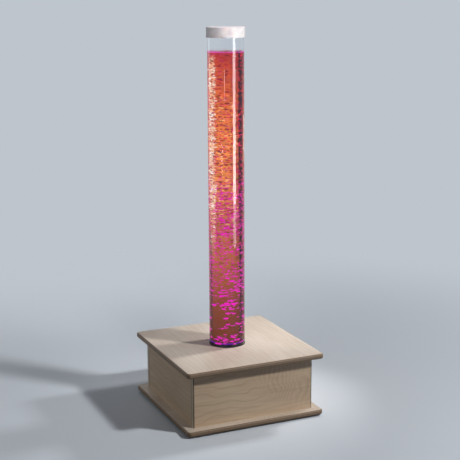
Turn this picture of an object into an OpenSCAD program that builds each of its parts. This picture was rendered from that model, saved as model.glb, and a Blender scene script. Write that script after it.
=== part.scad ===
// Bubble tube floor lamp: a water-filled acrylic tube on a birch plywood plinth, which holds
// the air pump, the ring lamp, the drain valve and the power supply. Millimetres, +Z up.
// The origin is on the floor, on the tube's axis. The front of the plinth faces -Y.

/* [Plinth] */
// Side of the square top and bottom boards
board_side = 405; // [397:1:420]
// Thickness of every plywood board and panel
board_t = 15; // [13:1:18]
// Radius of the boards' corners in plan
board_corner_r = 10; // [10:1:20]
// Radius of the boards' rounded edges
board_edge_r = 5; // [1:0.5:5]
// Outside of the box between the boards
box_side = 355; // [350:1:365]
// Height of the box between the boards
panel_h = 148; // [145:1:160]
// Rounding of the panels' upright edges
panel_edge_r = 1.2; // [0.5:0.1:2]
// Side of the square posts in the box's corners
post_side = 25; // [22:1:30]
// Diameter of the stick-on rubber feet
foot_d = 32; // [20:1:40]
// Height of the feet
foot_h = 4; // [2:0.5:8]

/* [Tube] */
// Outside diameter of the acrylic tube
tube_d = 100; // [99:0.5:101]
// Wall of the tube
tube_wall = 4; // [3.5:0.5:5]
// Height of the tube's rim above the top board
tube_rise = 880; // [600:10:1600]
// Height of the water above the top board
water_rise = 820; // [500:10:1500]
// Rubber ring that closes the gap between the tube and the board
seal_w = 1; // [1:0.5:3]
// Height of that ring above the board
seal_rise = 0.5; // [0.5:0.5:3]

/* [Cap] */
// Outside diameter of the cap
cap_d = 105; // [104:0.5:110]
// Height of the cap
cap_h = 28; // [22:1:40]
// Thickness of the cap's top
cap_top = 3; // [2:0.5:4]
// Gap between the cap's skirt and the tube
cap_gap = 0.3; // [0.2:0.1:0.6]
// Diameter of the air holes in the cap
cap_hole_d = 4; // [3:0.5:6]

/* [Base flange] */
// Diameter of the clear disc that closes the tube's foot
flange_d = 150; // [146:1:160]
// Thickness of the disc
flange_t = 10; // [10:1:12]
// Thickness of the gasket over the disc
gasket_t = 2; // [1:0.5:3]
// Circle of the four screws that hold the disc
flange_pcd = 126; // [120:1:134]

/* [Ring lamp] */
// Outside diameter of the lamp's housing
lamp_d = 62; // [58:1:62]
// Height of the housing without its fins
lamp_h = 28; // [26:1:30]
// Number of LEDs on the ring
led_count = 12; // [6:1:16]
// Number of cooling fins
fin_count = 12; // [8:1:16]

/* [Service door] */
// Width of the opening in the rear panel
door_w = 180; // [150:1:180]
// Height of the opening
door_h = 105; // [90:1:108]
// Gap all round the door
door_gap = 1.5; // [1.2:0.1:2.5]
// Middle of the opening, to the left of the tube seen from the front
door_x = -35; // [-38:1:-30]
// Number of vent slots in the door
slot_count = 7; // [4:1:8]

/* [Control plate] */
// Width of the plate on the rear panel
plate_w = 66; // [62:1:68]
// Height of the plate
plate_h = 100; // [98:1:104]
// Middle of the plate, to the right of the tube seen from the front
plate_x = 97; // [95:1:99]
// Travel of the colour button
button_travel = 2; // [1:0.5:3]
// Full swing of the power rocker, in degrees
rocker_swing = 14; // [10:1:16]

/* [Air pump] */
// Length of the pump along X
pump_l = 95; // [92:1:100]
// Width of the pump along Y
pump_w = 70; // [66:1:74]
// Height of the pump's case
pump_h = 58; // [54:1:64]
// Outside diameter of the air hose
hose_d = 8; // [7:0.5:9]
// Bore of the air hose
hose_bore = 5; // [4:0.5:5]

/* [Hidden] */
$fn = 64;

// Heights, from the floor up
z_box = foot_h + board_t;
z_lid = z_box + panel_h;
z_top = z_lid + board_t;
z_flange = z_lid - gasket_t;
z_under_flange = z_flange - flange_t;
z_rim = z_top + tube_rise;
z_water = z_top + water_rise;
z_mid = z_box + panel_h / 2;

// Plan
half_board = board_side / 2;
half_box = box_side / 2;
half_room = half_box - board_t;
post_at = half_room - post_side / 2;
tube_r = tube_d / 2;
water_r = tube_r - tube_wall;
hole_r = tube_r + seal_w;
corners = [[-1, -1], [1, -1], [1, 1], [-1, 1]];

// Screws. Panel screws sit at these heights in each post, one pair for each panel.
wood_screw_d = 4;
panel_screw_l = post_side + 10;
cross_screw_z = [36, 106];
side_screw_z = [54, 88];
bottom_screw_d = 5;
bottom_screw_l = board_t + 30;
small_screw_d = 3;
small_screw_l = 12;
dowel_d = 8;
dowel_depth = 10;
dowel_l = 25;

// Door and hinges. The hinge's axis stands on the gap at the door's left side, seen from the front.
door_left = door_x - door_w / 2;
door_right = door_x + door_w / 2;
hinge_x = door_left + door_gap / 2;
hinge_y = half_box + 3.2;
hinge_r = 3;
hinge_pin_r = 1.5;
hinge_h = 30;
hinge_leaf_w = 22;
hinge_leaf_t = 1.5;
hinge_play = 0.3;
knuckle_h = (hinge_h - 2 * hinge_play) / 3;
hinge_z = [z_mid - 31, z_mid + 31];
hinge_screw_dz = 9;
knob_x = door_right - 22;
catch_gap = 0.3;
catch_plate_t = 1.5;
catch_h = 36;

// Control plate, from its foot up
plate_t = 2;
plate_face = half_box + plate_t;
plate_screw_dx = plate_w / 2 - 5;
plate_screw_dz = plate_h / 2 - 5;
cutout_rim = [8, 10];
inlet_z = z_mid - 29;
rocker_z = z_mid + 2;
button_z = z_mid + 28;
inlet_size = [48, 24];
inlet_body = [30, 20];
inlet_recess = [24.4, 16.4];
inlet_depth = 22;
inlet_socket = 16;
rocker_frame = [28, 22];
rocker_body = [24, 18];
rocker_depth = 18;
rocker_w = 18;
rocker_half = 7;
pivot_r = 1.2;
pivot_l = rocker_w + 3.4;
running_gap = 0.05;
button_r = 6;
button_l = 13.5;
barrel_r = 8;
barrel_l = 18;
barrel_rim = 2.5;
button_well = 12;

// Flange, fittings and drain
flange_hole_r = 2.75;
m5_r = 2.5;
insert_r = 3.5;
insert_l = 10;
shank_r = 5;
fitting_bore_r = 1.5;
nut_af = 14;
nut_h = 6;
seal_disc_t = 1.5;
fitting_head_h = 3;
z_head = z_flange + seal_disc_t;
air_head_r = 8;
drain_head_r = 6.5;
drain_y = 39;
drain_z = z_under_flange - 20;
stone_r = 30;
stone_h = 13.5;
nipple_r = 3;
nipple_h = 5.5;
barb_r = hose_bore / 2;
barb_top = z_under_flange - 12;
barb_l = 18;

// Drain valve, along +Y
valve_y = 98;
valve_half = 18;
valve_r = 12;
valve_bore_r = 4;
pipe_r = 6;
pipe_bore_r = 3.5;
socket_l = 8;
ball_r = 9;
chamber_r = 9.3;
stem_r = 3;
gland_r = 6;
gland_z = drain_z + 15;
lever_t = 3;
lever_w = 10;
lever_l = 50;
lever_z = gland_z + 1;
slot_w = 3;
slot_depth = 3;
tail_l = 28;
tail_barb_r = 6.5;

// Ring lamp
lamp_r = lamp_d / 2;
lamp_wall = 2;
lamp_bore_r = 12;
lamp_floor = 3;
lamp_foot = z_under_flange - lamp_h;
fin_h = 10;
fin_t = 1.6;
lug_at = lamp_r + 4;
lug_t = 4;
lug_angles = [30, 150, 270];
m3_r = 1.5;
lead_hole = [19, 11];
lead_hole_r = 3;
led_board_t = 1.6;
led_ring_r = 22;
led_side = 5;
led_t = 1.6;

// Air pump, near the front left corner
pump_x = -107.5;
pump_y = -95;
pump_foot_h = 8;
pump_foot_r = 7;
pump_z = z_box + pump_foot_h;
pump_base_h = 20;
pump_wall = 2.5;
pump_corner_r = 8;
pump_floor = pump_z + pump_wall;
nozzle_x = -100;
nozzle_z = z_box + 31;
nozzle_l = 14;
nozzle_y = pump_y + pump_w / 2;
core_size = [26, 40, 30];
core_lift = 4;
core_x = pump_x - pump_l / 2 + pump_wall + 3;
pole_t = 9;
coil_wall = 3;
coil_l = 12;
arm_x = pump_x + pump_l / 2 - 12;
arm_t = 2;
arm_h = 12;
arm_boss_r = 4;
arm_post_r = 2;
arm_play = 0.2;
magnet_size = [10, 12, 14];
push_rod_r = 2.5;
push_rod_l = 6;
chamber_w = 26;
chamber_d = 18;
chamber_bore_r = 11;
chamber_bore_l = 12;

// Air hose: pump nozzle, quarter turn, check valve, quarter turn, fitting under the tube
hose_r = hose_d / 2;
valve_inlet_x = -62;
check_l = 24;
check_r = 10;
check_barb_l = 8;
bend_r = 25;

// Power supply and lamp controller, along the right-hand panel
supply_size = [60, 80, 35];
supply_at = [100, 70];
controller_size = [80, 50, 25];
controller_at = [95, -70];
ear_l = 9;
ear_w = 14;
ear_t = 3;

// Leads between them: the points that each one follows, and its radius. The leads to the rear
// start on the backs of the inlet, the switch and the button.
lead_r = 2;
lead_sides = 8;
lead_steps = 2;
inlet_back = plate_face - inlet_depth;
switch_back = plate_face - rocker_depth;
button_back = plate_face - barrel_l;
low_pole_z = inlet_z + 4.5;
high_pole_z = rocker_z - 5.5;
mains_lead = [[plate_x, inlet_back, inlet_z], [plate_x, inlet_back - 10, inlet_z], [97, 128, 50],
              [97, 118, 37], [97, 110, 37]];
switch_lead = [[90, inlet_back, low_pole_z], [90, inlet_back - 7, low_pole_z], [90, 143, 78],
               [90, switch_back - 10, high_pole_z], [90, switch_back, high_pole_z]];
low_voltage_lead = [[100, 30, 36], [100, 20, 36], [97, -5, 24], [95, -30, 31], [95, -45, 32]];
lamp_lead = [[55, -60, 32], [45, -60, 32], [30, -50, 42], [20, -20, 76], [19, 8, lamp_foot - 26],
             [lead_hole[0], lead_hole[1], lamp_foot - 12],
             [lead_hole[0], lead_hole[1], lamp_foot + lamp_floor]];
pump_lead = [[55, -85, 32], [45, -85, 32], [20, -90, 24], [-15, -100, 22], [-40, -108, 30],
             [-52, -110, 40], [-60, -110, 40]];
button_lead = [[plate_x, button_back, button_z], [plate_x, button_back - 9, button_z],
               [96, 140, 109], [90, 132, 75], [70, 124, 38], [57, 102, 24], [55, 50, 22],
               [60, 0, 22], [72, -28, 28], [75, -38, 32], [75, -45, 32]];

// ---- shared shapes ----

module along_y() { rotate([-90, 0, 0]) children(); }
module along_x() { rotate([0, 90, 0]) children(); }
module towards_front() { rotate([90, 0, 0]) children(); }

// A box centred in X and Y that stands at z
module block(size, z = 0) {
    translate([-size[0] / 2, -size[1] / 2, z]) cube(size);
}

// A ring or tube that stands on z = 0
module ring(outer_r, inner_r, h) {
    difference() {
        cylinder(r = outer_r, h = h);
        translate([0, 0, -1]) cylinder(r = inner_r, h = h + 2);
    }
}

// A countersunk screw whose head is flush with z = 0 and whose point looks up
module screw(d, l) {
    rotate_extrude() polygon([[0, 0], [d, 0], [d / 2, d / 2], [d / 2, l - d], [0, l]]);
}

// A rectangle with round corners, made of whole circles and squares
module round_rect(w, h, r) {
    square([w - 2 * r, h], center = true);
    square([w, h - 2 * r], center = true);
    for (c = corners)
        translate([c[0] * (w / 2 - r), c[1] * (h / 2 - r)]) circle(r = r);
}

// The section of a board's edge, from the start of the corner's curve out to the edge
module board_edge_section() {
    square([board_corner_r - board_edge_r, board_t]);
    translate([0, board_edge_r]) square([board_corner_r, board_t - 2 * board_edge_r]);
    for (z = [board_edge_r, board_t - board_edge_r])
        translate([board_corner_r - board_edge_r, z]) circle(r = board_edge_r);
}

// A plywood board with round corners and edges, standing on z = 0
module rounded_board() {
    straight = board_side - 2 * board_corner_r;
    block([straight, straight, board_t]);
    for (a = [0, 90, 180, 270]) rotate(a) {
        translate([straight / 2, straight / 2, 0])
            rotate_extrude(angle = 90) board_edge_section();
        translate([straight / 2, straight / 2, 0])
            rotate([90, 0, 0]) linear_extrude(straight) board_edge_section();
    }
}

module at_posts() {
    for (c = corners) translate([c[0] * post_at, c[1] * post_at, 0]) children();
}

module at_flange_screws() {
    for (a = [45, 135, 225, 315]) rotate(a) translate([flange_pcd / 2, 0, 0]) children();
}

// A round lead along a list of points, smoothed, as one closed polyhedron. reference is any
// direction that the lead never takes: it keeps the rings from turning against each other.
function unit(v) = v / norm(v);
function on_curve(p, i, u) =
    let(a = p[max(i - 1, 0)], b = p[i], c = p[i + 1], d = p[min(i + 2, len(p) - 1)])
    (2 * b + (c - a) * u + (2 * a - 5 * b + 4 * c - d) * u * u + (3 * b - a - 3 * c + d) * u * u * u) / 2;
function smoothed(p) = concat(
    [for (i = [0:len(p) - 2], s = [0:lead_steps - 1]) on_curve(p, i, s / lead_steps)], [p[len(p) - 1]]);
function heading(p, q, i) =
    i == 0 ? unit(p[1] - p[0])
    : i == len(q) - 1 ? unit(p[len(p) - 1] - p[len(p) - 2])
    : unit(q[i + 1] - q[i - 1]);
function lead_ring(centre, along, reference) =
    let(across = unit(cross(along, reference)), up = cross(across, along))
    [for (k = [0:lead_sides - 1]) let(a = k * 360 / lead_sides)
        centre + lead_r * (cos(a) * across + sin(a) * up)];

module lead(p, reference = [0.3, 0.1, 1]) {
    q = smoothed(p);
    n = lead_sides;
    last = n * (len(q) - 1);
    polyhedron(
        points = [for (i = [0:len(q) - 1]) each lead_ring(q[i], heading(p, q, i), reference)],
        faces = concat(
            [[for (k = [0:n - 1]) k]],
            [for (i = [0:len(q) - 2], k = [0:n - 1])
                [i * n + k, (i + 1) * n + k, (i + 1) * n + (k + 1) % n, i * n + (k + 1) % n]],
            [[for (k = [n - 1:-1:0]) last + k]]
        )
    );
}

// ---- plinth ----

module bottom_board() {
    color("burlywood") difference() {
        translate([0, 0, foot_h]) rounded_board();
        plinth_screws();
    }
}

module top_board() {
    color("burlywood") difference() {
        translate([0, 0, z_lid]) rounded_board();
        translate([0, 0, z_lid - 1]) cylinder(r = hole_r, h = board_t + 2);
        at_flange_screws() translate([0, 0, z_lid - 1]) cylinder(r = insert_r, h = insert_l + 1);
        top_dowels();
    }
}

// The front or the rear panel, which laps the ends of the side panels
module cross_panel(side) {
    translate([0, side * (half_box - board_t / 2), z_box])
        linear_extrude(panel_h) round_rect(box_side, board_t, panel_edge_r);
}

module side_panel(side) {
    color("tan") difference() {
        translate([side * (half_box - board_t / 2), 0, z_box])
            block([board_t, 2 * half_room, panel_h]);
        plinth_screws();
    }
}

module front_panel() {
    color("wheat") difference() {
        cross_panel(-1);
        plinth_screws();
    }
}

module left_panel() { side_panel(-1); }
module right_panel() { side_panel(1); }

// The rear panel, with the door's opening and a cut-out behind the control plate
module rear_panel() {
    cutout = [plate_w - 2 * cutout_rim[0], board_t + 2, plate_h - 2 * cutout_rim[1]];
    color("wheat") difference() {
        cross_panel(1);
        translate([door_left, half_room - 1, z_mid - door_h / 2]) cube([door_w, board_t + 2, door_h]);
        translate([plate_x - cutout[0] / 2, half_room - 1, z_mid - cutout[2] / 2]) cube(cutout);
        plinth_screws();
        rear_panel_screws();
    }
}

module corner_posts() {
    color("navajowhite") difference() {
        at_posts() block([post_side, post_side, panel_h], z_box);
        plinth_screws();
        top_dowels();
    }
}

// Through the posts into the panels, up through the bottom board into the posts,
// and down through the ears of the power supply and the lamp controller
module plinth_screws() {
    color("silver") {
        for (c = corners) {
            for (z = cross_screw_z)
                translate([c[0] * post_at, c[1] * (half_room - post_side), z_box + z])
                    rotate([-90 * c[1], 0, 0]) screw(wood_screw_d, panel_screw_l);
            for (z = side_screw_z)
                translate([c[0] * (half_room - post_side), c[1] * post_at, z_box + z])
                    rotate([0, 90 * c[0], 0]) screw(wood_screw_d, panel_screw_l);
        }
        at_posts() translate([0, 0, foot_h]) screw(bottom_screw_d, bottom_screw_l);
        at_ears(supply_at, supply_size) ear_screw();
        at_ears(controller_at, controller_size) ear_screw();
    }
}

module ear_screw() {
    translate([0, 0, z_box + ear_t]) rotate([180, 0, 0]) screw(small_screw_d, small_screw_l);
}

module top_dowels() {
    color("navajowhite") at_posts()
        translate([0, 0, z_lid + dowel_depth - dowel_l]) cylinder(d = dowel_d, h = dowel_l);
}

module feet() {
    inset = half_board - foot_d / 2 - 14;
    color("dimgray") for (c = corners)
        translate([c[0] * inset, c[1] * inset, 0]) cylinder(d = foot_d, h = foot_h);
}

// ---- service door ----

module service_door() {
    slot_pitch = 16;
    slot_h = 52;
    slot_d = 6;
    color("wheat") difference() {
        translate([door_left + door_gap, half_room, z_mid - door_h / 2 + door_gap])
            cube([door_w - 2 * door_gap, board_t, door_h - 2 * door_gap]);
        for (i = [0:slot_count - 1])
            translate([door_x + (i - (slot_count - 1) / 2) * slot_pitch, half_room - 1, z_mid])
                along_y() {
                    for (s = [-1, 1])
                        translate([0, s * (slot_h - slot_d) / 2, 0]) cylinder(d = slot_d, h = board_t + 2);
                    block([slot_d, slot_h - slot_d, board_t + 2]);
                }
        door_knob();
        door_screws();
    }
}

// One leaf of both hinges. side is -1 for the frame's leaf and 1 for the door's, and
// knuckles lists which of the three knuckles it holds.
module hinge_leaves(side, knuckles, bore_r) {
    plain_w = hinge_leaf_w - hinge_r - 0.4;
    for (z = hinge_z) translate([hinge_x, half_box, z - hinge_h / 2]) difference() {
        union() {
            translate([side < 0 ? -hinge_leaf_w : hinge_leaf_w - plain_w, 0, 0])
                cube([plain_w, hinge_leaf_t, hinge_h]);
            for (k = knuckles) translate([0, 0, k * (knuckle_h + hinge_play)]) {
                translate([0, hinge_y - half_box, 0]) cylinder(r = hinge_r, h = knuckle_h);
                translate([side < 0 ? -hinge_leaf_w : 0, 0, 0])
                    cube([hinge_leaf_w, hinge_leaf_t, knuckle_h]);
            }
        }
        translate([0, hinge_y - half_box, -1]) cylinder(r = bore_r, h = hinge_h + 2);
    }
}

module hinge_frame_leaves() {
    color("goldenrod") difference() {
        hinge_leaves(-1, [0, 2], hinge_pin_r);
        rear_panel_screws();
    }
}

module hinge_door_leaves() {
    color("goldenrod") difference() {
        hinge_leaves(1, [1], hinge_pin_r + running_gap);
        door_screws();
    }
}

module hinge_pins() {
    color("darkgoldenrod") for (z = hinge_z)
        translate([hinge_x, hinge_y, z - hinge_h / 2 - 1]) cylinder(r = hinge_pin_r, h = hinge_h + 2);
}

// Small screws from outside, heads flush with the face at y
module small_screw_in(x, y, z) {
    translate([x, y, z]) towards_front() screw(small_screw_d, small_screw_l);
}

module rear_panel_screws() {
    color("silver") {
        for (z = hinge_z, s = [-1, 1])
            small_screw_in(hinge_x - hinge_leaf_w + 7, half_box + hinge_leaf_t, z + s * hinge_screw_dz);
        for (sx = [-1, 1], sz = [-1, 1])
            small_screw_in(plate_x + sx * plate_screw_dx, plate_face, z_mid + sz * plate_screw_dz);
    }
}

module door_screws() {
    color("silver") for (z = hinge_z, s = [-1, 1])
        small_screw_in(hinge_x + hinge_leaf_w - 7, half_box + hinge_leaf_t, z + s * hinge_screw_dz);
}

module door_knob() {
    head_r = 11;
    neck_r = 6;
    color("burlywood") translate([knob_x, half_box - 10, z_mid]) along_y() {
        cylinder(r = 4, h = 11);
        translate([0, 0, 10]) cylinder(r = neck_r, h = 6);
        translate([0, 0, 16]) cylinder(r1 = neck_r, r2 = head_r, h = 4);
        translate([0, 0, 20]) cylinder(r = head_r, h = 3);
        translate([0, 0, 23]) cylinder(r1 = head_r, r2 = head_r - 3, h = 3);
    }
}

module catch_magnet() {
    reach = 14;
    front = half_room - catch_plate_t - catch_gap;
    color("white") {
        translate([door_right - 12, front - reach, z_mid - catch_h / 2]) cube([30, reach, catch_h]);
        translate([door_right + 4, front, z_mid - catch_h / 2])
            cube([14, half_room - front, catch_h]);
    }
}

module catch_plate() {
    color("silver") translate([door_right - 14, half_room - catch_plate_t, z_mid - catch_h / 2 + 3])
        cube([10, catch_plate_t, catch_h - 6]);
}

// ---- control plate ----

module control_plate() {
    color("dimgray") difference() {
        translate([plate_x, half_box, z_mid]) along_y() linear_extrude(plate_t)
            round_rect(plate_w, plate_h, 4);
        translate([plate_x, half_box - 1, inlet_z]) along_y() block([inlet_body[0], inlet_body[1], 5]);
        translate([plate_x, half_box - 1, rocker_z]) along_y() block([rocker_body[0], rocker_body[1], 5]);
        translate([plate_x, half_box - 1, button_z]) along_y() cylinder(r = barrel_r, h = 5);
        rear_panel_screws();
    }
}

module power_inlet() {
    color("black") translate([plate_x, plate_face, inlet_z]) difference() {
        union() {
            along_y() linear_extrude(3) round_rect(inlet_size[0], inlet_size[1], 3);
            towards_front() block([inlet_body[0], inlet_body[1], inlet_depth]);
        }
        translate([-inlet_recess[0] / 2, -inlet_socket, -inlet_recess[1] / 2])
            cube([inlet_recess[0], inlet_socket + 4, inlet_recess[1]]);
    }
}

// Three flat pins that stand in the inlet's recess, the earth pin above the others
module inlet_pins() {
    pin = [2, inlet_socket - 2, 4];
    color("silver") translate([plate_x, plate_face - inlet_socket, inlet_z])
        for (p = [[-7, -2], [0, 2], [7, -2]])
            translate([p[0] - pin[0] / 2, 0, p[1] - pin[2] / 2]) cube(pin);
}

module switch_body() {
    side_gap = 0.4;
    end_gap = 0.8;
    color("black") translate([plate_x, plate_face, rocker_z]) difference() {
        union() {
            along_y() linear_extrude(2) round_rect(rocker_frame[0], rocker_frame[1], 2);
            towards_front() block([rocker_body[0], rocker_body[1], rocker_depth]);
        }
        translate([-rocker_w / 2 - side_gap, -8, -rocker_half - end_gap])
            cube([rocker_w + 2 * side_gap, 12, 2 * (rocker_half + end_gap)]);
        translate([-pivot_l / 2 - 0.3, 0, 0]) along_x()
            cylinder(r = pivot_r + running_gap, h = pivot_l + 0.6);
    }
}

// The rocker rests with its upper end pressed in, and swings about X
module switch_rocker() {
    color("firebrick") translate([plate_x, plate_face, rocker_z]) rotate([rocker_swing / 2, 0, 0]) {
        translate([-rocker_w / 2, 0, 0]) rotate([90, 0, 90]) linear_extrude(rocker_w)
            polygon([[-4, -4.5], [0, -rocker_half], [4, -rocker_half], [2.4, 0],
                     [4, rocker_half], [0, rocker_half], [-4, 4.5]]);
        translate([-pivot_l / 2, 0, 0]) along_x() cylinder(r = pivot_r, h = pivot_l);
    }
}

// A threaded barrel with a rim outside the plate and a six-sided nut behind it
module button_body() {
    rim_r = barrel_r + barrel_rim;
    color("silver") translate([plate_x, plate_face, button_z]) difference() {
        union() {
            along_y() cylinder(r = rim_r, h = 2);
            towards_front() cylinder(r = barrel_r, h = barrel_l);
            translate([0, -plate_t, 0]) towards_front() cylinder(r = rim_r, h = 3, $fn = 6);
        }
        translate([0, -button_well, 0]) along_y()
            cylinder(r = button_r + running_gap, h = button_well + 3);
    }
}

module colour_button() {
    color("mediumorchid")
        translate([plate_x, plate_face - button_well + button_travel + 1, button_z]) along_y()
            cylinder(r = button_r, h = button_l);
}

// ---- tube ----

module tube() {
    color("lightcyan", 0.4) translate([0, 0, z_flange]) ring(tube_r, water_r, z_rim - z_flange);
}

// The water goes round the fittings and the stone. The air fitting's bore holds air.
module water() {
    color("orangered", 0.7) difference() {
        translate([0, 0, z_flange]) cylinder(r = water_r, h = z_water - z_flange);
        translate([0, 0, z_flange - 1]) cylinder(r = nipple_r, h = z_head + fitting_head_h - z_flange + 2);
        air_fitting();
        air_stone();
        drain_elbow();
        fitting_seals();
    }
}

// A push-on cap: a skirt over the tube, a spigot inside it, and air holes in the top
module cap() {
    edge_r = 1.5;
    spigot_r = water_r - 0.5;
    color("whitesmoke") translate([0, 0, z_rim + cap_top - cap_h]) difference() {
        rotate_extrude() {
            translate([tube_r + cap_gap, 0]) square([cap_d / 2 - tube_r - cap_gap, cap_h - edge_r]);
            translate([0, cap_h - cap_top]) square([cap_d / 2 - edge_r, cap_top]);
            translate([cap_d / 2 - edge_r, cap_h - edge_r]) circle(r = edge_r);
            translate([spigot_r - 2, cap_h - cap_top - 12]) square([2, 12]);
        }
        for (a = [0:72:359]) rotate(a)
            translate([24, 0, cap_h - cap_top - 1]) cylinder(d = cap_hole_d, h = cap_top + 2);
    }
}

module base_flange() {
    color("lightcyan", 0.5) difference() {
        translate([0, 0, z_under_flange]) cylinder(d = flange_d, h = flange_t);
        translate([0, 0, z_under_flange - 1]) cylinder(r = shank_r, h = flange_t + 2);
        translate([0, drain_y, z_under_flange - 1]) cylinder(r = shank_r, h = flange_t + 2);
        at_flange_screws() translate([0, 0, z_under_flange - 1])
            cylinder(r = flange_hole_r, h = flange_t + 2);
        lamp_screws();
    }
}

module flange_gasket() {
    color("dimgray") translate([0, 0, z_flange]) difference() {
        ring(flange_d / 2, hole_r, gasket_t);
        at_flange_screws() translate([0, 0, -1]) cylinder(r = flange_hole_r, h = gasket_t + 2);
    }
}

// Four M5 screws from below, each with its washer
module flange_screws() {
    head_h = 3.5;
    head_r = 4.75;
    washer_t = 1;
    color("silver") at_flange_screws() translate([0, 0, z_under_flange - washer_t]) {
        translate([0, 0, -head_h]) difference() {
            cylinder(r = head_r, h = head_h);
            translate([0, 0, -1]) cylinder(r = 2, h = 3, $fn = 6);
        }
        cylinder(r = m5_r, h = z_lid + insert_l - z_under_flange + washer_t);
        ring(6, m5_r + 0.2, washer_t);
    }
}

module threaded_inserts() {
    color("goldenrod") at_flange_screws() translate([0, 0, z_lid]) ring(insert_r, m5_r, insert_l);
}

module tube_seal() {
    color("black") translate([0, 0, z_lid + 5])
        ring(hole_r, tube_r, board_t - 5 + seal_rise);
}

// ---- air and drain fittings ----

module air_fitting() {
    color("goldenrod") difference() {
        rotate_extrude() polygon([
            [0, barb_top - barb_l], [barb_r, barb_top - barb_l], [barb_r, barb_top],
            [shank_r, barb_top], [shank_r, z_head], [air_head_r, z_head],
            [air_head_r, z_head + fitting_head_h], [nipple_r, z_head + fitting_head_h],
            [nipple_r, z_head + fitting_head_h + nipple_h], [0, z_head + fitting_head_h + nipple_h]
        ]);
        translate([0, 0, barb_top - barb_l - 1]) cylinder(r = fitting_bore_r, h = 100);
    }
}

module fitting_nut(h) {
    difference() {
        rotate(30) cylinder(r = nut_af / sqrt(3), h = h, $fn = 6);
        translate([0, 0, -1]) cylinder(r = shank_r, h = h + 2);
    }
}

module fitting_nuts() {
    color("goldenrod") for (y = [0, drain_y])
        translate([0, y, z_under_flange - nut_h]) rotate(y > 0 ? 30 : 0) fitting_nut(nut_h);
}

module fitting_seals() {
    color("dimgray") {
        translate([0, 0, z_flange]) ring(air_head_r, shank_r, seal_disc_t);
        translate([0, drain_y, z_flange]) ring(drain_head_r, shank_r, seal_disc_t);
    }
}

module air_stone() {
    color("slategray") difference() {
        translate([0, 0, z_head + fitting_head_h]) cylinder(r = stone_r, h = stone_h);
        translate([0, 0, z_head + fitting_head_h - 1]) cylinder(r = nipple_r, h = nipple_h + 1);
    }
}

// A bulkhead fitting with a bend below: water leaves down, then towards the rear
module drain_elbow() {
    end_y = valve_y - valve_half + socket_l;
    color("silver") difference() {
        union() {
            translate([0, drain_y, drain_z]) cylinder(r = shank_r, h = z_head - drain_z);
            translate([0, drain_y, z_head]) cylinder(r = drain_head_r, h = fitting_head_h);
            translate([0, drain_y, drain_z]) sphere(r = pipe_r);
            translate([0, drain_y, drain_z]) along_y() cylinder(r = pipe_r, h = end_y - drain_y);
        }
        translate([0, drain_y, drain_z]) cylinder(r = pipe_bore_r, h = 100);
        translate([0, drain_y, drain_z]) sphere(r = pipe_bore_r);
        translate([0, drain_y, drain_z]) along_y() cylinder(r = pipe_bore_r, h = end_y);
    }
}

// A ball valve: socket for the elbow, chamber for the ball, gland for the stem, barbed hose tail
module valve_body() {
    tail_y = valve_half + tail_l;
    color("goldenrod") translate([0, valve_y, drain_z]) difference() {
        union() {
            translate([0, -valve_half, 0]) along_y() cylinder(r = valve_r, h = 2 * valve_half);
            cylinder(r = gland_r, h = gland_z - drain_z);
            translate([0, valve_half, 0]) along_y() {
                cylinder(r = tail_barb_r - 1, h = tail_l);
                for (i = [0:3]) translate([0, 0, 3 + i * 6])
                    cylinder(r1 = tail_barb_r, r2 = tail_barb_r - 1, h = 5);
            }
        }
        sphere(r = chamber_r);
        translate([0, -valve_half - 1, 0]) along_y() cylinder(r = pipe_r, h = socket_l + 1);
        translate([0, -valve_half, 0]) along_y() cylinder(r = valve_bore_r, h = valve_half + tail_y + 1);
        cylinder(r = stem_r + 0.05, h = 40);
    }
}

// The ball rests shut, with its bore across the pipe
module valve_ball() {
    color("silver") translate([0, valve_y, drain_z]) difference() {
        sphere(r = ball_r);
        translate([-20, 0, 0]) along_x() cylinder(r = valve_bore_r, h = 40);
        translate([-10, -slot_w / 2, ball_r - slot_depth]) cube([20, slot_w, slot_depth + 1]);
    }
}

module valve_stem() {
    shoulder = drain_z + ball_r;
    top = lever_z + lever_t + 3;
    color("silver") translate([0, valve_y, 0]) {
        translate([0, 0, shoulder]) cylinder(r = stem_r, h = top - shoulder);
        intersection() {
            translate([0, 0, shoulder - slot_depth]) cylinder(r = stem_r, h = slot_depth + 1);
            translate([-10, -slot_w / 2, shoulder - slot_depth]) cube([20, slot_w, slot_depth + 1]);
        }
    }
}

module valve_lever() {
    color("red") translate([0, valve_y, lever_z]) difference() {
        union() {
            cylinder(r = lever_w / 2 + 1, h = lever_t);
            translate([0, -lever_w / 2, 0]) cube([lever_l - lever_w / 2, lever_w, lever_t]);
            translate([lever_l - lever_w / 2, 0, 0]) cylinder(r = lever_w / 2, h = lever_t);
        }
        translate([0, 0, -1]) cylinder(r = stem_r, h = lever_t + 2);
    }
}

// ---- air hoses ----

// A quarter turn of hose about the origin, from +X round to +Y
module hose_bend() {
    rotate_extrude(angle = 90) translate([bend_r, 0]) difference() {
        circle(r = hose_r);
        circle(r = barb_r);
    }
}

// From the pump's nozzle, round a bend and into the check valve
module pump_hose() {
    start = nozzle_y + 2;
    translate([nozzle_x, start, nozzle_z]) along_y() ring(hose_r, barb_r, -bend_r - start);
    translate([nozzle_x + bend_r, -bend_r, nozzle_z]) rotate(90) hose_bend();
    translate([nozzle_x + bend_r, 0, nozzle_z]) along_x()
        ring(hose_r, barb_r, valve_inlet_x - nozzle_x - bend_r);
}

// From the check valve, round a bend and up to the fitting under the tube
module tube_hose() {
    start = valve_inlet_x + check_l;
    translate([start, 0, nozzle_z]) along_x() ring(hose_r, barb_r, -bend_r - start);
    translate([-bend_r, 0, nozzle_z + bend_r]) rotate([90, 0, 0]) rotate(-90) hose_bend();
    translate([0, 0, nozzle_z + bend_r]) ring(hose_r, barb_r, barb_top - nozzle_z - bend_r);
}

module air_hoses() {
    color("gainsboro") {
        pump_hose();
        tube_hose();
    }
}

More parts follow.
